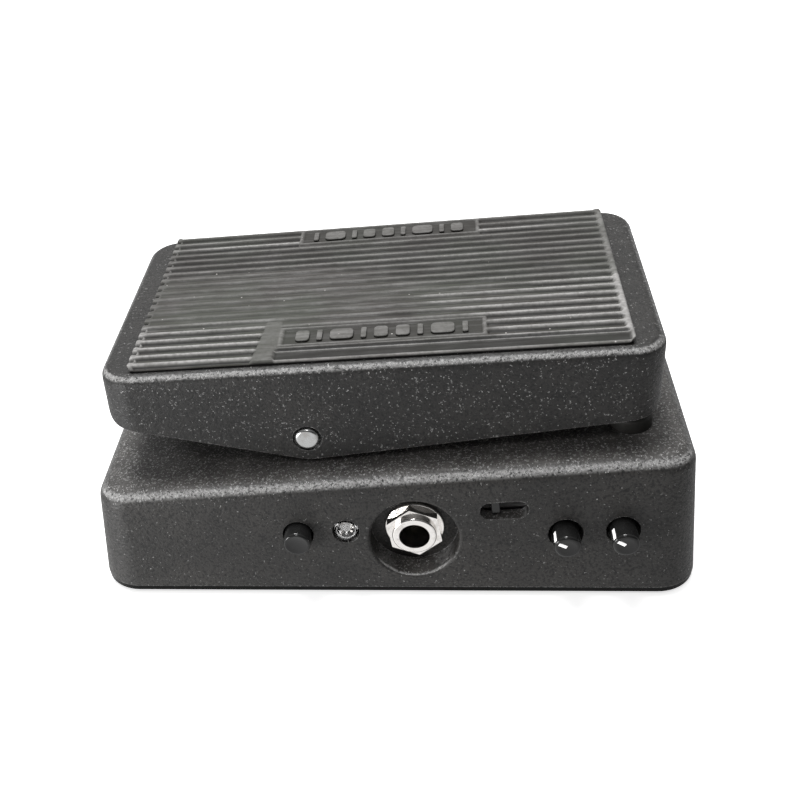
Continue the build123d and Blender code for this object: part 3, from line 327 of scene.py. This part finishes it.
# The pointer paint glows a little: painted light that keeps it white where it lies in shade.
pointer_white = moulding("pointer_white", tone=0.85, low=0.35, high=0.50, warmth=0.01, glow=0.30)
board_green = solid_colour("solder_mask", (0.006, 0.060, 0.022), (0.010, 0.095, 0.035), low=0.25, high=0.45)
tape_yellow = solid_colour("winding_tape", (0.50, 0.34, 0.05), (0.66, 0.47, 0.08), low=0.35, high=0.55)
can_sleeve = solid_colour("can_sleeve", (0.010, 0.010, 0.030), (0.020, 0.020, 0.050), low=0.30, high=0.45)
clear_lens = lens_material("clear_lens")
pin_nickel = plated("dull_nickel", tone=0.55, low=0.18, high=0.34)

FINISH = {
    "body_coat": coat,
    "pad_rubber": pad_rubber,
    "bumper_rubber": stop_rubber,
    "bright_nickel": nickel,
    "steel": steel,
    "plate_steel": zinc,
    "nylon": nylon,
    "black_plastic": gloss_black,
    "switch_plastic": matt_black,
    "led_lens": clear_lens,
    "board_green": board_green,
    "aluminium_case": aluminium,
    "capacitor_black": can_sleeve,
    "inductor_yellow": tape_yellow,
}
OWN_FINISH = {"treadle": treadle_coat, "non_slip_mat": mat_rubber, "pivot_shaft": pin_nickel}


def paint(piece, material):
    """Gives a piece one material."""
    piece.data.materials.clear()
    piece.data.materials.append(material)


for subpart in frame["record"]["subparts"]:
    name = subpart["node"]
    paint(nodes[name], OWN_FINISH.get(name, FINISH[subpart["material_slot"]]))


# -------------------------------------------------------------------------------- new pieces


def add_piece(name, mesh_or_bmesh, body, material):
    """Links a mesh, smooth-shaded, as a piece that rides on a body."""
    if isinstance(mesh_or_bmesh, bmesh.types.BMesh):
        mesh = bpy.data.meshes.new(name)
        mesh_or_bmesh.to_mesh(mesh)
        mesh_or_bmesh.free()
    else:
        mesh = mesh_or_bmesh
    mesh.polygons.foreach_set("use_smooth", [True] * len(mesh.polygons))
    piece = bpy.data.objects.new(name, mesh)
    bpy.context.scene.collection.objects.link(piece)
    paint(piece, material)
    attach(piece, body)
    return piece


def join_rings(work, rings):
    """Faces between each ring of points and the next."""
    for lower, upper in zip(rings, rings[1:]):
        for i in range(len(lower)):
            j = (i + 1) % len(lower)
            work.faces.new((lower[i], lower[j], upper[j], upper[i]))


def pad_frame():
    """Matrix to the row frame from pad coordinates in mm, whose origin is the underside's middle."""
    mesh = nodes["treadle_pad"].data
    top = max((p for p in mesh.polygons if p.normal.z > 0.5), key=lambda p: p.area)
    normal = top.normal.normalized()
    along = Vector((0, 1, 0)).cross(normal).normalized()
    low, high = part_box("treadle_pad")
    heights = [v.co.dot(normal) for v in mesh.vertices]
    centre = (low + high) / 2
    origin = centre + normal * (min(heights) - centre.dot(normal))
    turn = Matrix((along, Vector((0, 1, 0)), normal)).transposed().to_4x4()
    return Matrix.Translation(origin) @ turn @ Matrix.Scale(MM, 4)


pad_matrix = pad_frame()
pad_low, pad_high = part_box("treadle_pad")
pad_middle_x = (pad_low.x + pad_high.x) / 2 / MM
pad_inverse = pad_matrix.inverted()
pad_corners = [pad_inverse @ v.co for v in nodes["treadle_pad"].data.vertices]
PAD_U = (min(c.x for c in pad_corners), max(c.x for c in pad_corners))
PAD_V = (min(c.y for c in pad_corners), max(c.y for c in pad_corners))


def smooth_step(low, high, value):
    """0 below low, 1 above high, smooth between."""
    t = np.clip((value - low) / (high - low), 0, 1)
    return t * t * (3 - 2 * t)


def window(value, low, high, soft=0.15):
    """1 between low and high, 0 outside, with soft edges."""
    return smooth_step(low - soft, low + soft, value) * (1 - smooth_step(high - soft, high + soft, value))


def rib_profile(v):
    """Across the ribs: how proud the rubber stands (0 to 1), and the painted shade at the foot beside each
    crest.
    """
    turn = (v - RIB_PHASE) / RIB_PITCH
    offset = (turn - np.round(turn)) * RIB_PITCH
    crest = 1 - smooth_step(CREST_HALF, CREST_HALF + 0.34, np.abs(offset))
    foot = window(offset, -CREST_HALF - 0.62, -CREST_HALF - 0.24, 0.10)
    return turn, crest, foot


def worn_share(x, v):
    """How worn the pad is: nearly flat in the middle of the near half, from 0 to 1."""
    slow = np.sin(x * 0.13 + 1.0) * 1.6 + np.sin(x * 0.31) * 0.8
    worn = window(v, -15.5 + slow, 9.0, 4.0) * (1 - smooth_step(6.0, 30.0, x + (v + 14) * 1.1))
    patch = window(v, -13.0, -0.5, 1.2) * (1 - smooth_step(6.0, 31.0, x + v * 1.6))
    return np.maximum(worn, 0.75 * patch)


def crisp_share(x, v, rib):
    """Where the crests are still crisp and carry the painted highlight, from 0 to 1."""
    starts = np.array(FRESH_RIB_STARTS)[np.clip(rib, 0, len(FRESH_RIB_STARTS) - 1)]
    crisp = smooth_step(starts - 2.0, starts + 2.0, x) * (rib < len(FRESH_RIB_STARTS))
    heel_block = (1 - smooth_step(-14.2, -12.6, v)) * (1 - smooth_step(-26, -24, x))
    crisp = np.maximum(crisp, heel_block)
    return np.maximum(crisp, (rib == BRIGHT_RIB) * window(x, -44, 34, 6.0))


def add_heel_band(x, v, height, proud, dark):
    """Near the heel the block of ribs stops at a smooth band beside the near panel."""
    slant = BLOCK_END_X + 0.12 * (v + 18)
    band = window(x, slant, PANEL_X[0], 0.25) * (1 - smooth_step(-14.2, -13.6, v))
    height = height * (1 - band) + (PAD_SHEET - 0.12) * band
    proud = proud * (1 - band) + 0.16 * band
    return height, proud, dark * (1 - band)


def add_panel(x, v, panel_v, height, proud, dark):
    """A panel with a floor below the sheet and a thin raised frame; the floor gets painted shade and the
    frame a painted highlight.
    """
    low_v, high_v = panel_v
    inside = window(x, *PANEL_X, 0.2) * window(v, low_v, high_v, 0.2)
    floor = window(x, PANEL_X[0] + 0.7, PANEL_X[1] - 0.7, 0.2) * window(v, low_v + 0.6, high_v - 0.6, 0.2)
    level = PAD_SHEET - 0.05 - PANEL_DEPTH * floor
    height = height * (1 - inside) + level * inside
    proud = proud * (1 - inside) + (0.4 - 0.4 * floor) * inside
    return height, proud, dark * (1 - inside) + 0.30 * floor * inside


def add_near_strip(x, v, height, proud, dark):
    """A flat strip along the near edge, outside the block of ribs, with a rim, a ridge and a crease. The
    flat and the crease get painted shade, the rim and the ridge a painted highlight.
    """
    strip = (1 - smooth_step(STRIP_V - 0.3, STRIP_V, v)) * smooth_step(PANEL_X[0] - 0.8, PANEL_X[0] - 0.2, x)
    strip = strip * (1 - smooth_step(48.3, 48.6, x))
    rim = 1 - smooth_step(PAD_V[0] + 0.45, PAD_V[0] + 0.75, v)
    ridge = window(v, STRIP_V - 0.75, STRIP_V - 0.35, 0.1)
    height = height * (1 - strip) + (0.70 + 0.25 * rim + 0.35 * ridge) * strip
    proud = proud * (1 - strip) + np.maximum(0.5 * rim, 0.75 * ridge) * strip
    dark = dark * (1 - strip) + 0.60 * strip * (1 - rim) * (1 - ridge)
    crease = window(v, STRIP_V - 0.28, STRIP_V + 0.02, 0.1) * window(x, PANEL_X[0], 48.4, 0.3)
    return height - 0.3 * crease, proud, np.maximum(dark, crease)


def pad_height(x, v):
    """Height of the rubber above the treadle in mm at x along the pad and v across it, with how proud it
    stands, which sets its painted highlight, and how much painted shade it gets, as in the foot of a rib or
    a recess."""
    turn, crest, foot = rib_profile(v)
    rib = np.round(turn).astype(int)
    worn = worn_share(x, v)
    crisp = crisp_share(x, v, rib)
    # The channels stop short of the toe end in round ends, and of the heel end in a thin rim.
    middle_of_channel = np.abs(turn - np.floor(turn) - 0.5) * 2
    toe_end = RIB_RUN[1] - 1.1 * middle_of_channel ** 2
    past_rim = smooth_step(RIB_RUN[0] - 0.3, RIB_RUN[0] + 0.3, x)
    running = (1 - smooth_step(toe_end - 0.3, toe_end + 0.3, x)) * past_rim
    proud = 1 - (1 - crest) * running
    height = PAD_SHEET - GROOVE_DEPTH * (1 - WORN_DEPTH * worn) * (1 - proud)
    # How proud a crest stands becomes the strength of its painted highlight: weaker on some ribs, stronger
    # where crisp, weaker where worn. The foot beside each crest gets painted shade.
    uneven = 0.24 + 0.20 * np.sin(rib * 2.4 + 1.0) ** 2
    proud = proud * (uneven + (1 - uneven) * crisp) * (1 - 0.45 * worn)
    dark = foot * running * (1 - 0.6 * worn) * (0.75 + 0.25 * crisp)
    height, proud, dark = add_heel_band(x, v, height, proud, dark)
    for panel_v in (NEAR_PANEL_V, FAR_PANEL_V):
        height, proud, dark = add_panel(x, v, panel_v, height, proud, dark)
    height, proud, dark = add_near_strip(x, v, height, proud, dark)
    # Notches at the heel edge, one to a channel, with painted shade in them.
    notch = (1 - smooth_step(-52.75, -52.45, x)) * smooth_step(0.55, 0.25, middle_of_channel)
    return height * (1 - 0.8 * notch), proud * (1 - notch), np.maximum(dark, notch)


def generic_marks(panel_v, order):
    """The raised marks on a panel, plain bars, studs and plates, as (x, v, length, width)."""
    low, high = panel_v
    centre = (low + high) / 2
    tall = (high - low) * MARK_TALL
    marks = []
    x = PANEL_X[0] + MARK_MARGIN
    for kind in order:
        length = MARK_LENGTHS[kind]
        marks.append((x + length / 2, centre, length, tall))
        x += length + MARK_GAP
    return marks


def store(mesh, name, values):
    """Keeps one value a point on a mesh, for its material to read."""
    made = mesh.attributes.new(name, "FLOAT", "POINT")
    made.data.foreach_set("value", np.asarray(values, dtype=np.float32))


def pad_mesh():
    """The ribbed pad as one closed skin over a fine grid."""
    columns = int((PAD_U[1] - PAD_U[0]) / PAD_STEP[0])
    rows = int((PAD_V[1] - PAD_V[0]) / PAD_STEP[1])
    us = np.linspace(*PAD_U, columns + 1)
    vs = np.linspace(*PAD_V, rows + 1)
    u, v = np.meshgrid(us, vs, indexing="ij")
    # Corners are rounded by squeezing each corner square into a quarter disc.
    radius = PAD_CORNER
    a = np.clip((np.abs(u - sum(PAD_U) / 2) - ((PAD_U[1] - PAD_U[0]) / 2 - radius)) / radius, 0, 1)
    b = np.clip((np.abs(v) - ((PAD_V[1] - PAD_V[0]) / 2 - radius)) / radius, 0, 1)
    u = u - np.sign(u - sum(PAD_U) / 2) * radius * (a - a * np.sqrt(1 - b * b / 2))
    v = v - np.sign(v) * radius * (b - b * np.sqrt(1 - a * a / 2))
    h, proud, dark = pad_height(u + pad_middle_x, v)
    edge = np.minimum(np.minimum(u - PAD_U[0], PAD_U[1] - u), np.minimum(v - PAD_V[0], PAD_V[1] - v))
    h = h - 0.22 * (1 - smooth_step(0.0, 0.35, edge))
    top = np.stack([u, v, h], -1).reshape(-1, 3)
    tuck = 0.35 * (1 - smooth_step(0.0, 0.6, edge))
    tucked_u = u - np.sign(u - sum(PAD_U) / 2) * tuck
    tucked_v = v - np.sign(v) * tuck
    floor = np.stack([tucked_u, tucked_v, np.zeros_like(h) + 0.02], -1).reshape(-1, 3)
    count = len(top)
    index = np.arange(count).reshape(columns + 1, rows + 1)
    quads = np.stack([index[:-1, :-1], index[1:, :-1], index[1:, 1:], index[:-1, 1:]], -1).reshape(-1, 4)
    loop = np.concatenate([index[:, 0], index[-1, 1:], index[-2::-1, -1], index[0, -2:0:-1]])
    after = np.roll(loop, -1)
    walls = np.stack([after, loop, loop + count, after + count], -1)
    # The underside is one flat face round the wall's lower edge.
    mesh = bpy.data.meshes.new("ribbed_pad")
    used = np.concatenate([np.arange(count), loop + count])
    renumber = {int(old): new for new, old in enumerate(used)}
    points = np.concatenate([top, floor[loop]])
    walls = [[renumber[int(i)] for i in wall] for wall in walls]
    underside = [renumber[int(i) + count] for i in loop]
    mesh.from_pydata(points.tolist(), [], quads.tolist() + walls + [underside[::-1]])
    mesh.transform(pad_matrix)
    mesh.update()
    # The material reads the painted highlight and the painted shade from these; the underside is all painted
    # shade.
    below = np.ones(len(loop))
    store(mesh, "proud", np.concatenate([proud.ravel(), below * 0]))
    store(mesh, "foot", np.concatenate([dark.ravel(), below]))
    return mesh


def bar_mesh(marks, height, base):
    """Raised bars with rounded shoulders, in pad coordinates."""
    work = bmesh.new()
    proud = work.verts.layers.float.new("proud")
    foot = work.verts.layers.float.new("foot")
    for x, v, length, width in marks:
        outline = []
        corner = min(length, width) * MARK_CORNER
        for cu, cv, start in ((1, 1, 0), (-1, 1, 90), (-1, -1, 180), (1, -1, 270)):
            for step in range(5):
                angle = math.radians(start + step * 22.5)
                outline.append((
                    cu * (length / 2 - corner) + corner * math.cos(angle),
                    cv * (width / 2 - corner) + corner * math.sin(angle),
                ))
        rings = []
        for inset, rise in MARK_SHOULDER:
            level = base + height * rise
            ring = []
            for a, b in outline:
                scale = max(0.0, 1 - inset / math.hypot(a, b))
                ring.append(work.verts.new((x - pad_middle_x + a * scale, v + b * scale, level)))
                # Painted highlight on the mark's top, painted shade round its foot.
                ring[-1][proud] = MARK_PROUD * smooth_step(0.5, 1.0, rise)
                ring[-1][foot] = 1 - smooth_step(0.4, 0.85, rise)
            rings.append(ring)
        join_rings(work, rings)
        work.faces.new(rings[-1])
        work.faces.new(rings[0][::-1])
    work.transform(pad_matrix)
    bmesh.ops.recalc_face_normals(work, faces=work.faces)
    return work


pad = add_piece("ribbed_pad", pad_mesh(), "treadle", pad_rubber)
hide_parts("treadle_pad")
near_order = ("stud", "bar", "plate", "bar", "stud", "stud", "bar", "plate", "bar")
far_order = ("bar", "plate", "bar", "stud", "stud", "bar", "plate", "bar", "stud")
MARK_BASE = PAD_SHEET - PANEL_DEPTH - 0.15  # a little below the panel's floor
MARK_HEIGHT = PANEL_DEPTH + 0.12
for name, panel_v, order in (
    ("near_panel_marks", NEAR_PANEL_V, near_order),
    ("far_panel_marks", FAR_PANEL_V, far_order),
):
    marks = bar_mesh(generic_marks(panel_v, order), MARK_HEIGHT, MARK_BASE)
    add_piece(name, marks, "treadle", pad_rubber)


# ---------------------------------------------------------------------------- small controls


def lathe(profile, centre, axis, sides=64):
    """A closed surface of revolution. The profile is (distance along the axis, radius) in mm."""
    work = bmesh.new()
    turn = Vector((0, 0, 1)).rotation_difference(Vector(axis)).to_matrix().to_4x4()
    place = Matrix.Translation(centre) @ turn @ Matrix.Scale(MM, 4)
    rings = []
    for along, radius in profile:
        ring = []
        for step in range(sides):
            angle = 2 * math.pi * step / sides
            point = Vector((radius * math.cos(angle), radius * math.sin(angle), along))
            ring.append(work.verts.new(place @ point))
        rings.append(ring)
    join_rings(work, rings)
    work.faces.new(rings[0][::-1])
    work.faces.new(rings[-1])
    bmesh.ops.recalc_face_normals(work, faces=work.faces)
    return work


def smooth_by_angle(piece, degrees=35):
    """Keeps sharp edges sharp on a smooth-shaded piece."""
    piece.data.set_sharp_from_angle(angle=math.radians(degrees))


def strip_along(path, normals, width, thickness):
    """A thin raised strip with rounded shoulders that follows a path over a surface."""
    work = bmesh.new()
    rings = []
    for i, (point, normal) in enumerate(zip(path, normals)):
        ahead = path[min(i + 1, len(path) - 1)] - path[max(i - 1, 0)]
        side = normal.cross(ahead.normalized()).normalized()
        ring = []
        for across, lift in ((-0.5, -0.4), (-0.5, 0.4), (-0.36, 1.0), (0.36, 1.0), (0.5, 0.4), (0.5, -0.4)):
            ring.append(work.verts.new(point + side * across * width + normal * lift * thickness))
        rings.append(ring)
    join_rings(work, rings)
    work.faces.new(rings[0][::-1])
    work.faces.new(rings[-1])
    bmesh.ops.recalc_face_normals(work, faces=work.faces)
    return work


# Controls, in mm.
KNOB_ANGLE = {"q_knob": 152, "volume_knob": 148}  # degrees from +X towards +Z, of the pointer at rest
KNOB_NOSE = 2.15  # radius of the knob's face inside its chamfer
KNOB_CHAMFER = 0.62  # length of the chamfer along the knob
KNOB_SET_BACK = 0.03  # of the knob's face behind the end of the CAD knob
POINTER_WIDTH = 0.78
POINTER_START = 0.72  # share of the knob's length where its pointer begins
POINTER_THICK = 0.05
LAMP_POST_OFFSET = 0.9  # of the post from the lamp's axis, towards the toe
FRONT = (0, -1, 0)  # the way the controls face


def rounded_nose(length, radius, deep, wide, steps=7):
    """The profile's rounded rim, from the side to the face."""
    points = []
    for step in range(steps + 1):
        angle = math.radians(90 * step / steps)
        points.append((length - deep + deep * math.sin(angle), radius - wide + wide * math.cos(angle)))
    return points


def make_button():
    """The push button: a plain cap with a rounded rim and a shallow dish in its face."""
    low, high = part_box("boost_button")
    length = (high.y - low.y) / MM
    radius = (high.x - low.x) / 2 / MM
    centre = Vector(((low.x + high.x) / 2, high.y, (low.z + high.z) / 2))
    profile = [(0.0, radius - 0.15), (0.15, radius)] + rounded_nose(length, radius, 0.75, 0.50)
    profile += [(length - 0.02, radius - 0.66), (length - 0.14, radius - 0.90), (length - 0.20, 0.3)]
    turned = lathe(profile, centre, FRONT)
    cap = add_piece("button_cap", turned, "boost_button", gloss_black)
    smooth_by_angle(cap)
    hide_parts("boost_button")


def make_knob(node):
    """A small knob with a chamfered nose and a white pointer line over its side and face."""
    low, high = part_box(node)
    length = (high.y - low.y) / MM
    radius = (high.x - low.x) / 2 / MM
    centre = Vector(((low.x + high.x) / 2, high.y, (low.z + high.z) / 2))
    profile = [(0.0, radius - 0.15), (0.15, radius)]
    profile += rounded_nose(length - KNOB_SET_BACK, radius, KNOB_CHAMFER, radius - KNOB_NOSE)
    profile += [(length - KNOB_SET_BACK, KNOB_NOSE - 0.25), (length - 0.12, KNOB_NOSE - 0.55)]
    profile += [(length - 0.16, 0.3)]
    turned = lathe(profile, centre, FRONT)
    knob = add_piece(node + "_turned", turned, node, gloss_black)
    smooth_by_angle(knob)
    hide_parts(node)
    angle = math.radians(KNOB_ANGLE[node])
    outward = Vector((math.cos(angle), 0, math.sin(angle)))
    front = Vector(FRONT)
    slope = (outward * 0.55 + front * 0.65).normalized()
    path = []
    normals = []
    for along, reach, normal in (
        (length * POINTER_START, radius, outward),
        (length * 0.85, radius, outward),
        (length - 0.8, radius, outward),
        (length - KNOB_CHAMFER, radius - 0.03, (outward + slope).normalized()),
        (length - 0.12, KNOB_NOSE + 0.08, (front + slope).normalized()),
        (length - 0.04, KNOB_NOSE - 0.15, front),
        (length - 0.12, KNOB_NOSE - 0.55, front),
        (length - 0.15, 0.25, front),
    ):
        path.append(centre + (front * along + outward * reach) * MM)
        normals.append(normal)
    mesh = strip_along(path, normals, POINTER_WIDTH * MM, POINTER_THICK * MM)
    line = add_piece(node + "_pointer", mesh, node, pointer_white)
    smooth_by_angle(line)


def make_lamp_core():
    """The reflector cup and the post inside the lamp's clear lens."""
    low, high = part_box("status_led")
    centre = Vector(((low.x + high.x) / 2, low.y, (low.z + high.z) / 2))
    cup = [(-3.4, 0.35), (-3.4, 0.95), (-3.1, 1.05), (-2.5, 1.45), (-2.5, 1.30), (-3.0, 0.85), (-3.05, 0.2)]
    turned = lathe(cup, centre, FRONT, 40)
    piece = add_piece("lamp_cup", turned, "base", lamp_metal)
    smooth_by_angle(piece)
    post = [(-3.05, 0.30), (-2.0, 0.28), (-1.9, 0.22), (-1.85, 0.05)]
    place = centre + Vector((LAMP_POST_OFFSET, 0, 0)) * MM
    turned = lathe(post, place, FRONT, 16)
    piece = add_piece("lamp_post", turned, "base", nickel)
    smooth_by_angle(piece)


make_knob("q_knob")
make_knob("volume_knob")
make_button()
make_lamp_core()


# ------------------------------------------------------------------------ stage and camera


WORLD_FRONT_TO_BACK = (0.03, 0.66)
WORLD_LEFT_TO_RIGHT = (1.15, 0.80)
WORLD_OVERHEAD = 0.14
BOUNCE_LEFT_TO_RIGHT = (1.05, 0.62)  # stands in for the light that the floor sends up
FLOOR_GLOW = 0.68
BACKDROP_GLOW = 1.1
FLOOR_NEAR = 0.5  # metres from the middle, where the glow starts to grow
FLOOR_FAR = 1.6  # and where it is strongest
BACKDROP_START = 2.2
BACKDROP_RADIUS = 2.0
BACKDROP_STEPS = 12
FLOOR_SIDES = 96


def make_floor():
    """A wide pale floor that curves up into a pale backdrop all round."""
    profile = [(0.0, 0.0), (BACKDROP_START, 0.0)]
    for step in range(1, BACKDROP_STEPS + 1):
        angle = math.radians(90 * step / BACKDROP_STEPS)
        reach = BACKDROP_START + BACKDROP_RADIUS * math.sin(angle)
        profile.append((reach, BACKDROP_RADIUS * (1 - math.cos(angle))))
    work = bmesh.new()
    centre = work.verts.new((0, 0, 0))
    rings = []
    for reach, height in profile[1:]:
        ring = []
        for step in range(FLOOR_SIDES):
            angle = 2 * math.pi * step / FLOOR_SIDES
            ring.append(work.verts.new((reach * math.cos(angle), reach * math.sin(angle), height)))
        rings.append(ring)
    for i in range(FLOOR_SIDES):
        work.faces.new((centre, rings[0][i], rings[0][(i + 1) % FLOOR_SIDES]))
    join_rings(work, rings)
    mesh = bpy.data.meshes.new("floor")
    work.to_mesh(mesh)
    work.free()
    mesh.polygons.foreach_set("use_smooth", [True] * len(mesh.polygons))
    floor = bpy.data.objects.new("floor", mesh)
    bpy.context.scene.collection.objects.link(floor)
    s = Surface("pale_floor", Roughness=0.9, Specular_IOR_Level=0.1)
    s.shader.inputs["Emission Color"].default_value = (1, 1, 1, 1)
    # The glow grows with distance, so that no darker band shows where the backdrop begins to curve.
    away = s.node("ShaderNodeVectorMath", {0: s.place}, operation="LENGTH").outputs["Value"]
    glow = s.band(away, FLOOR_NEAR, FLOOR_FAR, FLOOR_GLOW, BACKDROP_GLOW)
    s.tree.links.new(glow, s.shader.inputs["Emission Strength"])
    s.colour(s.mix(s.noise(60.0, 2.0, 0.5), grey(0.90), grey(0.92)))
    s.material.cycles.emission_sampling = "NONE"
    paint(floor, s.material)
    # The floor's own glow stays out of the object: the world's lower half stands in for its bounce.
    floor.visible_diffuse = False
    floor.visible_glossy = False
    floor.visible_shadow = False


def make_world():
    """A studio that is bright overhead and behind the object, and dim in front of it."""
    world = bpy.data.worlds.new("studio")
    bpy.context.scene.world = world
    world.use_nodes = True
    tree = world.node_tree
    back = tree.nodes["Background"]
    direction = tree.nodes.new("ShaderNodeTexCoord").outputs["Generated"]
    parts = tree.nodes.new("ShaderNodeSeparateXYZ")
    tree.links.new(direction, parts.inputs[0])

    def ramp(value, low, high, to_low, to_high):
        made = tree.nodes.new("ShaderNodeMapRange")
        made.interpolation_type = "SMOOTHSTEP"
        tree.links.new(value, made.inputs[0])
        for index, number in enumerate((low, high, to_low, to_high), 1):
            made.inputs[index].default_value = number
        return made.outputs[0]

    def both(operation, a, b):
        made = tree.nodes.new("ShaderNodeMath")
        made.operation = operation
        tree.links.new(a, made.inputs[0])
        tree.links.new(b, made.inputs[1])
        return made.outputs[0]

    behind = ramp(parts.outputs[1], -0.55, 0.65, *WORLD_FRONT_TO_BACK)
    sideways = ramp(parts.outputs[0], -0.9, 0.9, *WORLD_LEFT_TO_RIGHT)
    overhead = ramp(parts.outputs[2], 0.2, 0.95, 0.0, WORLD_OVERHEAD)
    above = ramp(parts.outputs[2], -0.12, 0.06, 0.0, 1.0)
    below = ramp(parts.outputs[2], -0.12, 0.06, 1.0, 0.0)
    upper = both("MULTIPLY", both("ADD", both("MULTIPLY", behind, sideways), overhead), above)
    lower = both("MULTIPLY", ramp(parts.outputs[0], -0.8, 0.8, *BOUNCE_LEFT_TO_RIGHT), below)
    tree.links.new(both("ADD", upper, lower), back.inputs[1])
    back.inputs[0].default_value = (1, 1, 1, 1)


def soft_sun(name, towards, energy, spread):
    """A large soft lamp far away in the given direction, with its spread in degrees."""
    data = bpy.data.lights.new(name, "SUN")
    data.energy = energy
    data.angle = math.radians(spread)
    lamp = bpy.data.objects.new(name, data)
    bpy.context.scene.collection.objects.link(lamp)
    lamp.rotation_euler = Vector(towards).to_track_quat("Z", "Y").to_euler()


def near_lamp(name, place, target, size, power):
    """A soft square lamp close by, so that its light falls off along the object."""
    data = bpy.data.lights.new(name, "AREA")
    data.shape = "SQUARE"
    data.size = size
    data.energy = power
    lamp = bpy.data.objects.new(name, data)
    bpy.context.scene.collection.objects.link(lamp)
    lamp.location = place
    lamp.rotation_euler = (Vector(target) - Vector(place)).to_track_quat("-Z", "Y").to_euler()


def make_camera():
    """The camera at the photograph's viewing angle."""
    data = bpy.data.cameras.new("camera")
    camera = bpy.data.objects.new("camera", data)
    bpy.context.scene.collection.objects.link(camera)
    yaw, pitch, roll = (math.radians(v) for v in (CAMERA_YAW, CAMERA_PITCH, CAMERA_ROLL))
    forward = Vector((math.sin(yaw) * math.cos(pitch), math.cos(yaw) * math.cos(pitch), -math.sin(pitch)))
    level_right = Vector((math.cos(yaw), -math.sin(yaw), 0))
    level_up = level_right.cross(forward)
    right = level_right * math.cos(roll) + level_up * math.sin(roll)
    up = level_up * math.cos(roll) - level_right * math.sin(roll)
    turn = Matrix((right, up, -forward)).transposed().to_4x4()
    camera.matrix_world = Matrix.Translation(CAMERA_PLACE) @ turn
    data.lens = CAMERA_LENS
    data.shift_x, data.shift_y = CAMERA_SHIFT
    data.clip_start, data.clip_end = CAMERA_CLIP
    bpy.context.scene.camera = camera


make_floor()
make_world()
soft_sun("softbox", towards=(-0.15, 0.20, 0.97), energy=2.6, spread=22)
near_lamp("left_window", place=(-0.22, -0.20, 0.010), target=(-0.03, -0.03, 0.02), size=0.10, power=0.50)
near_lamp("front_glint", place=(-0.05, -0.34, 0.50), target=(0, -0.03, 0.02), size=0.12, power=0.45)
make_camera()
bpy.context.scene.view_settings.view_transform = "Standard"
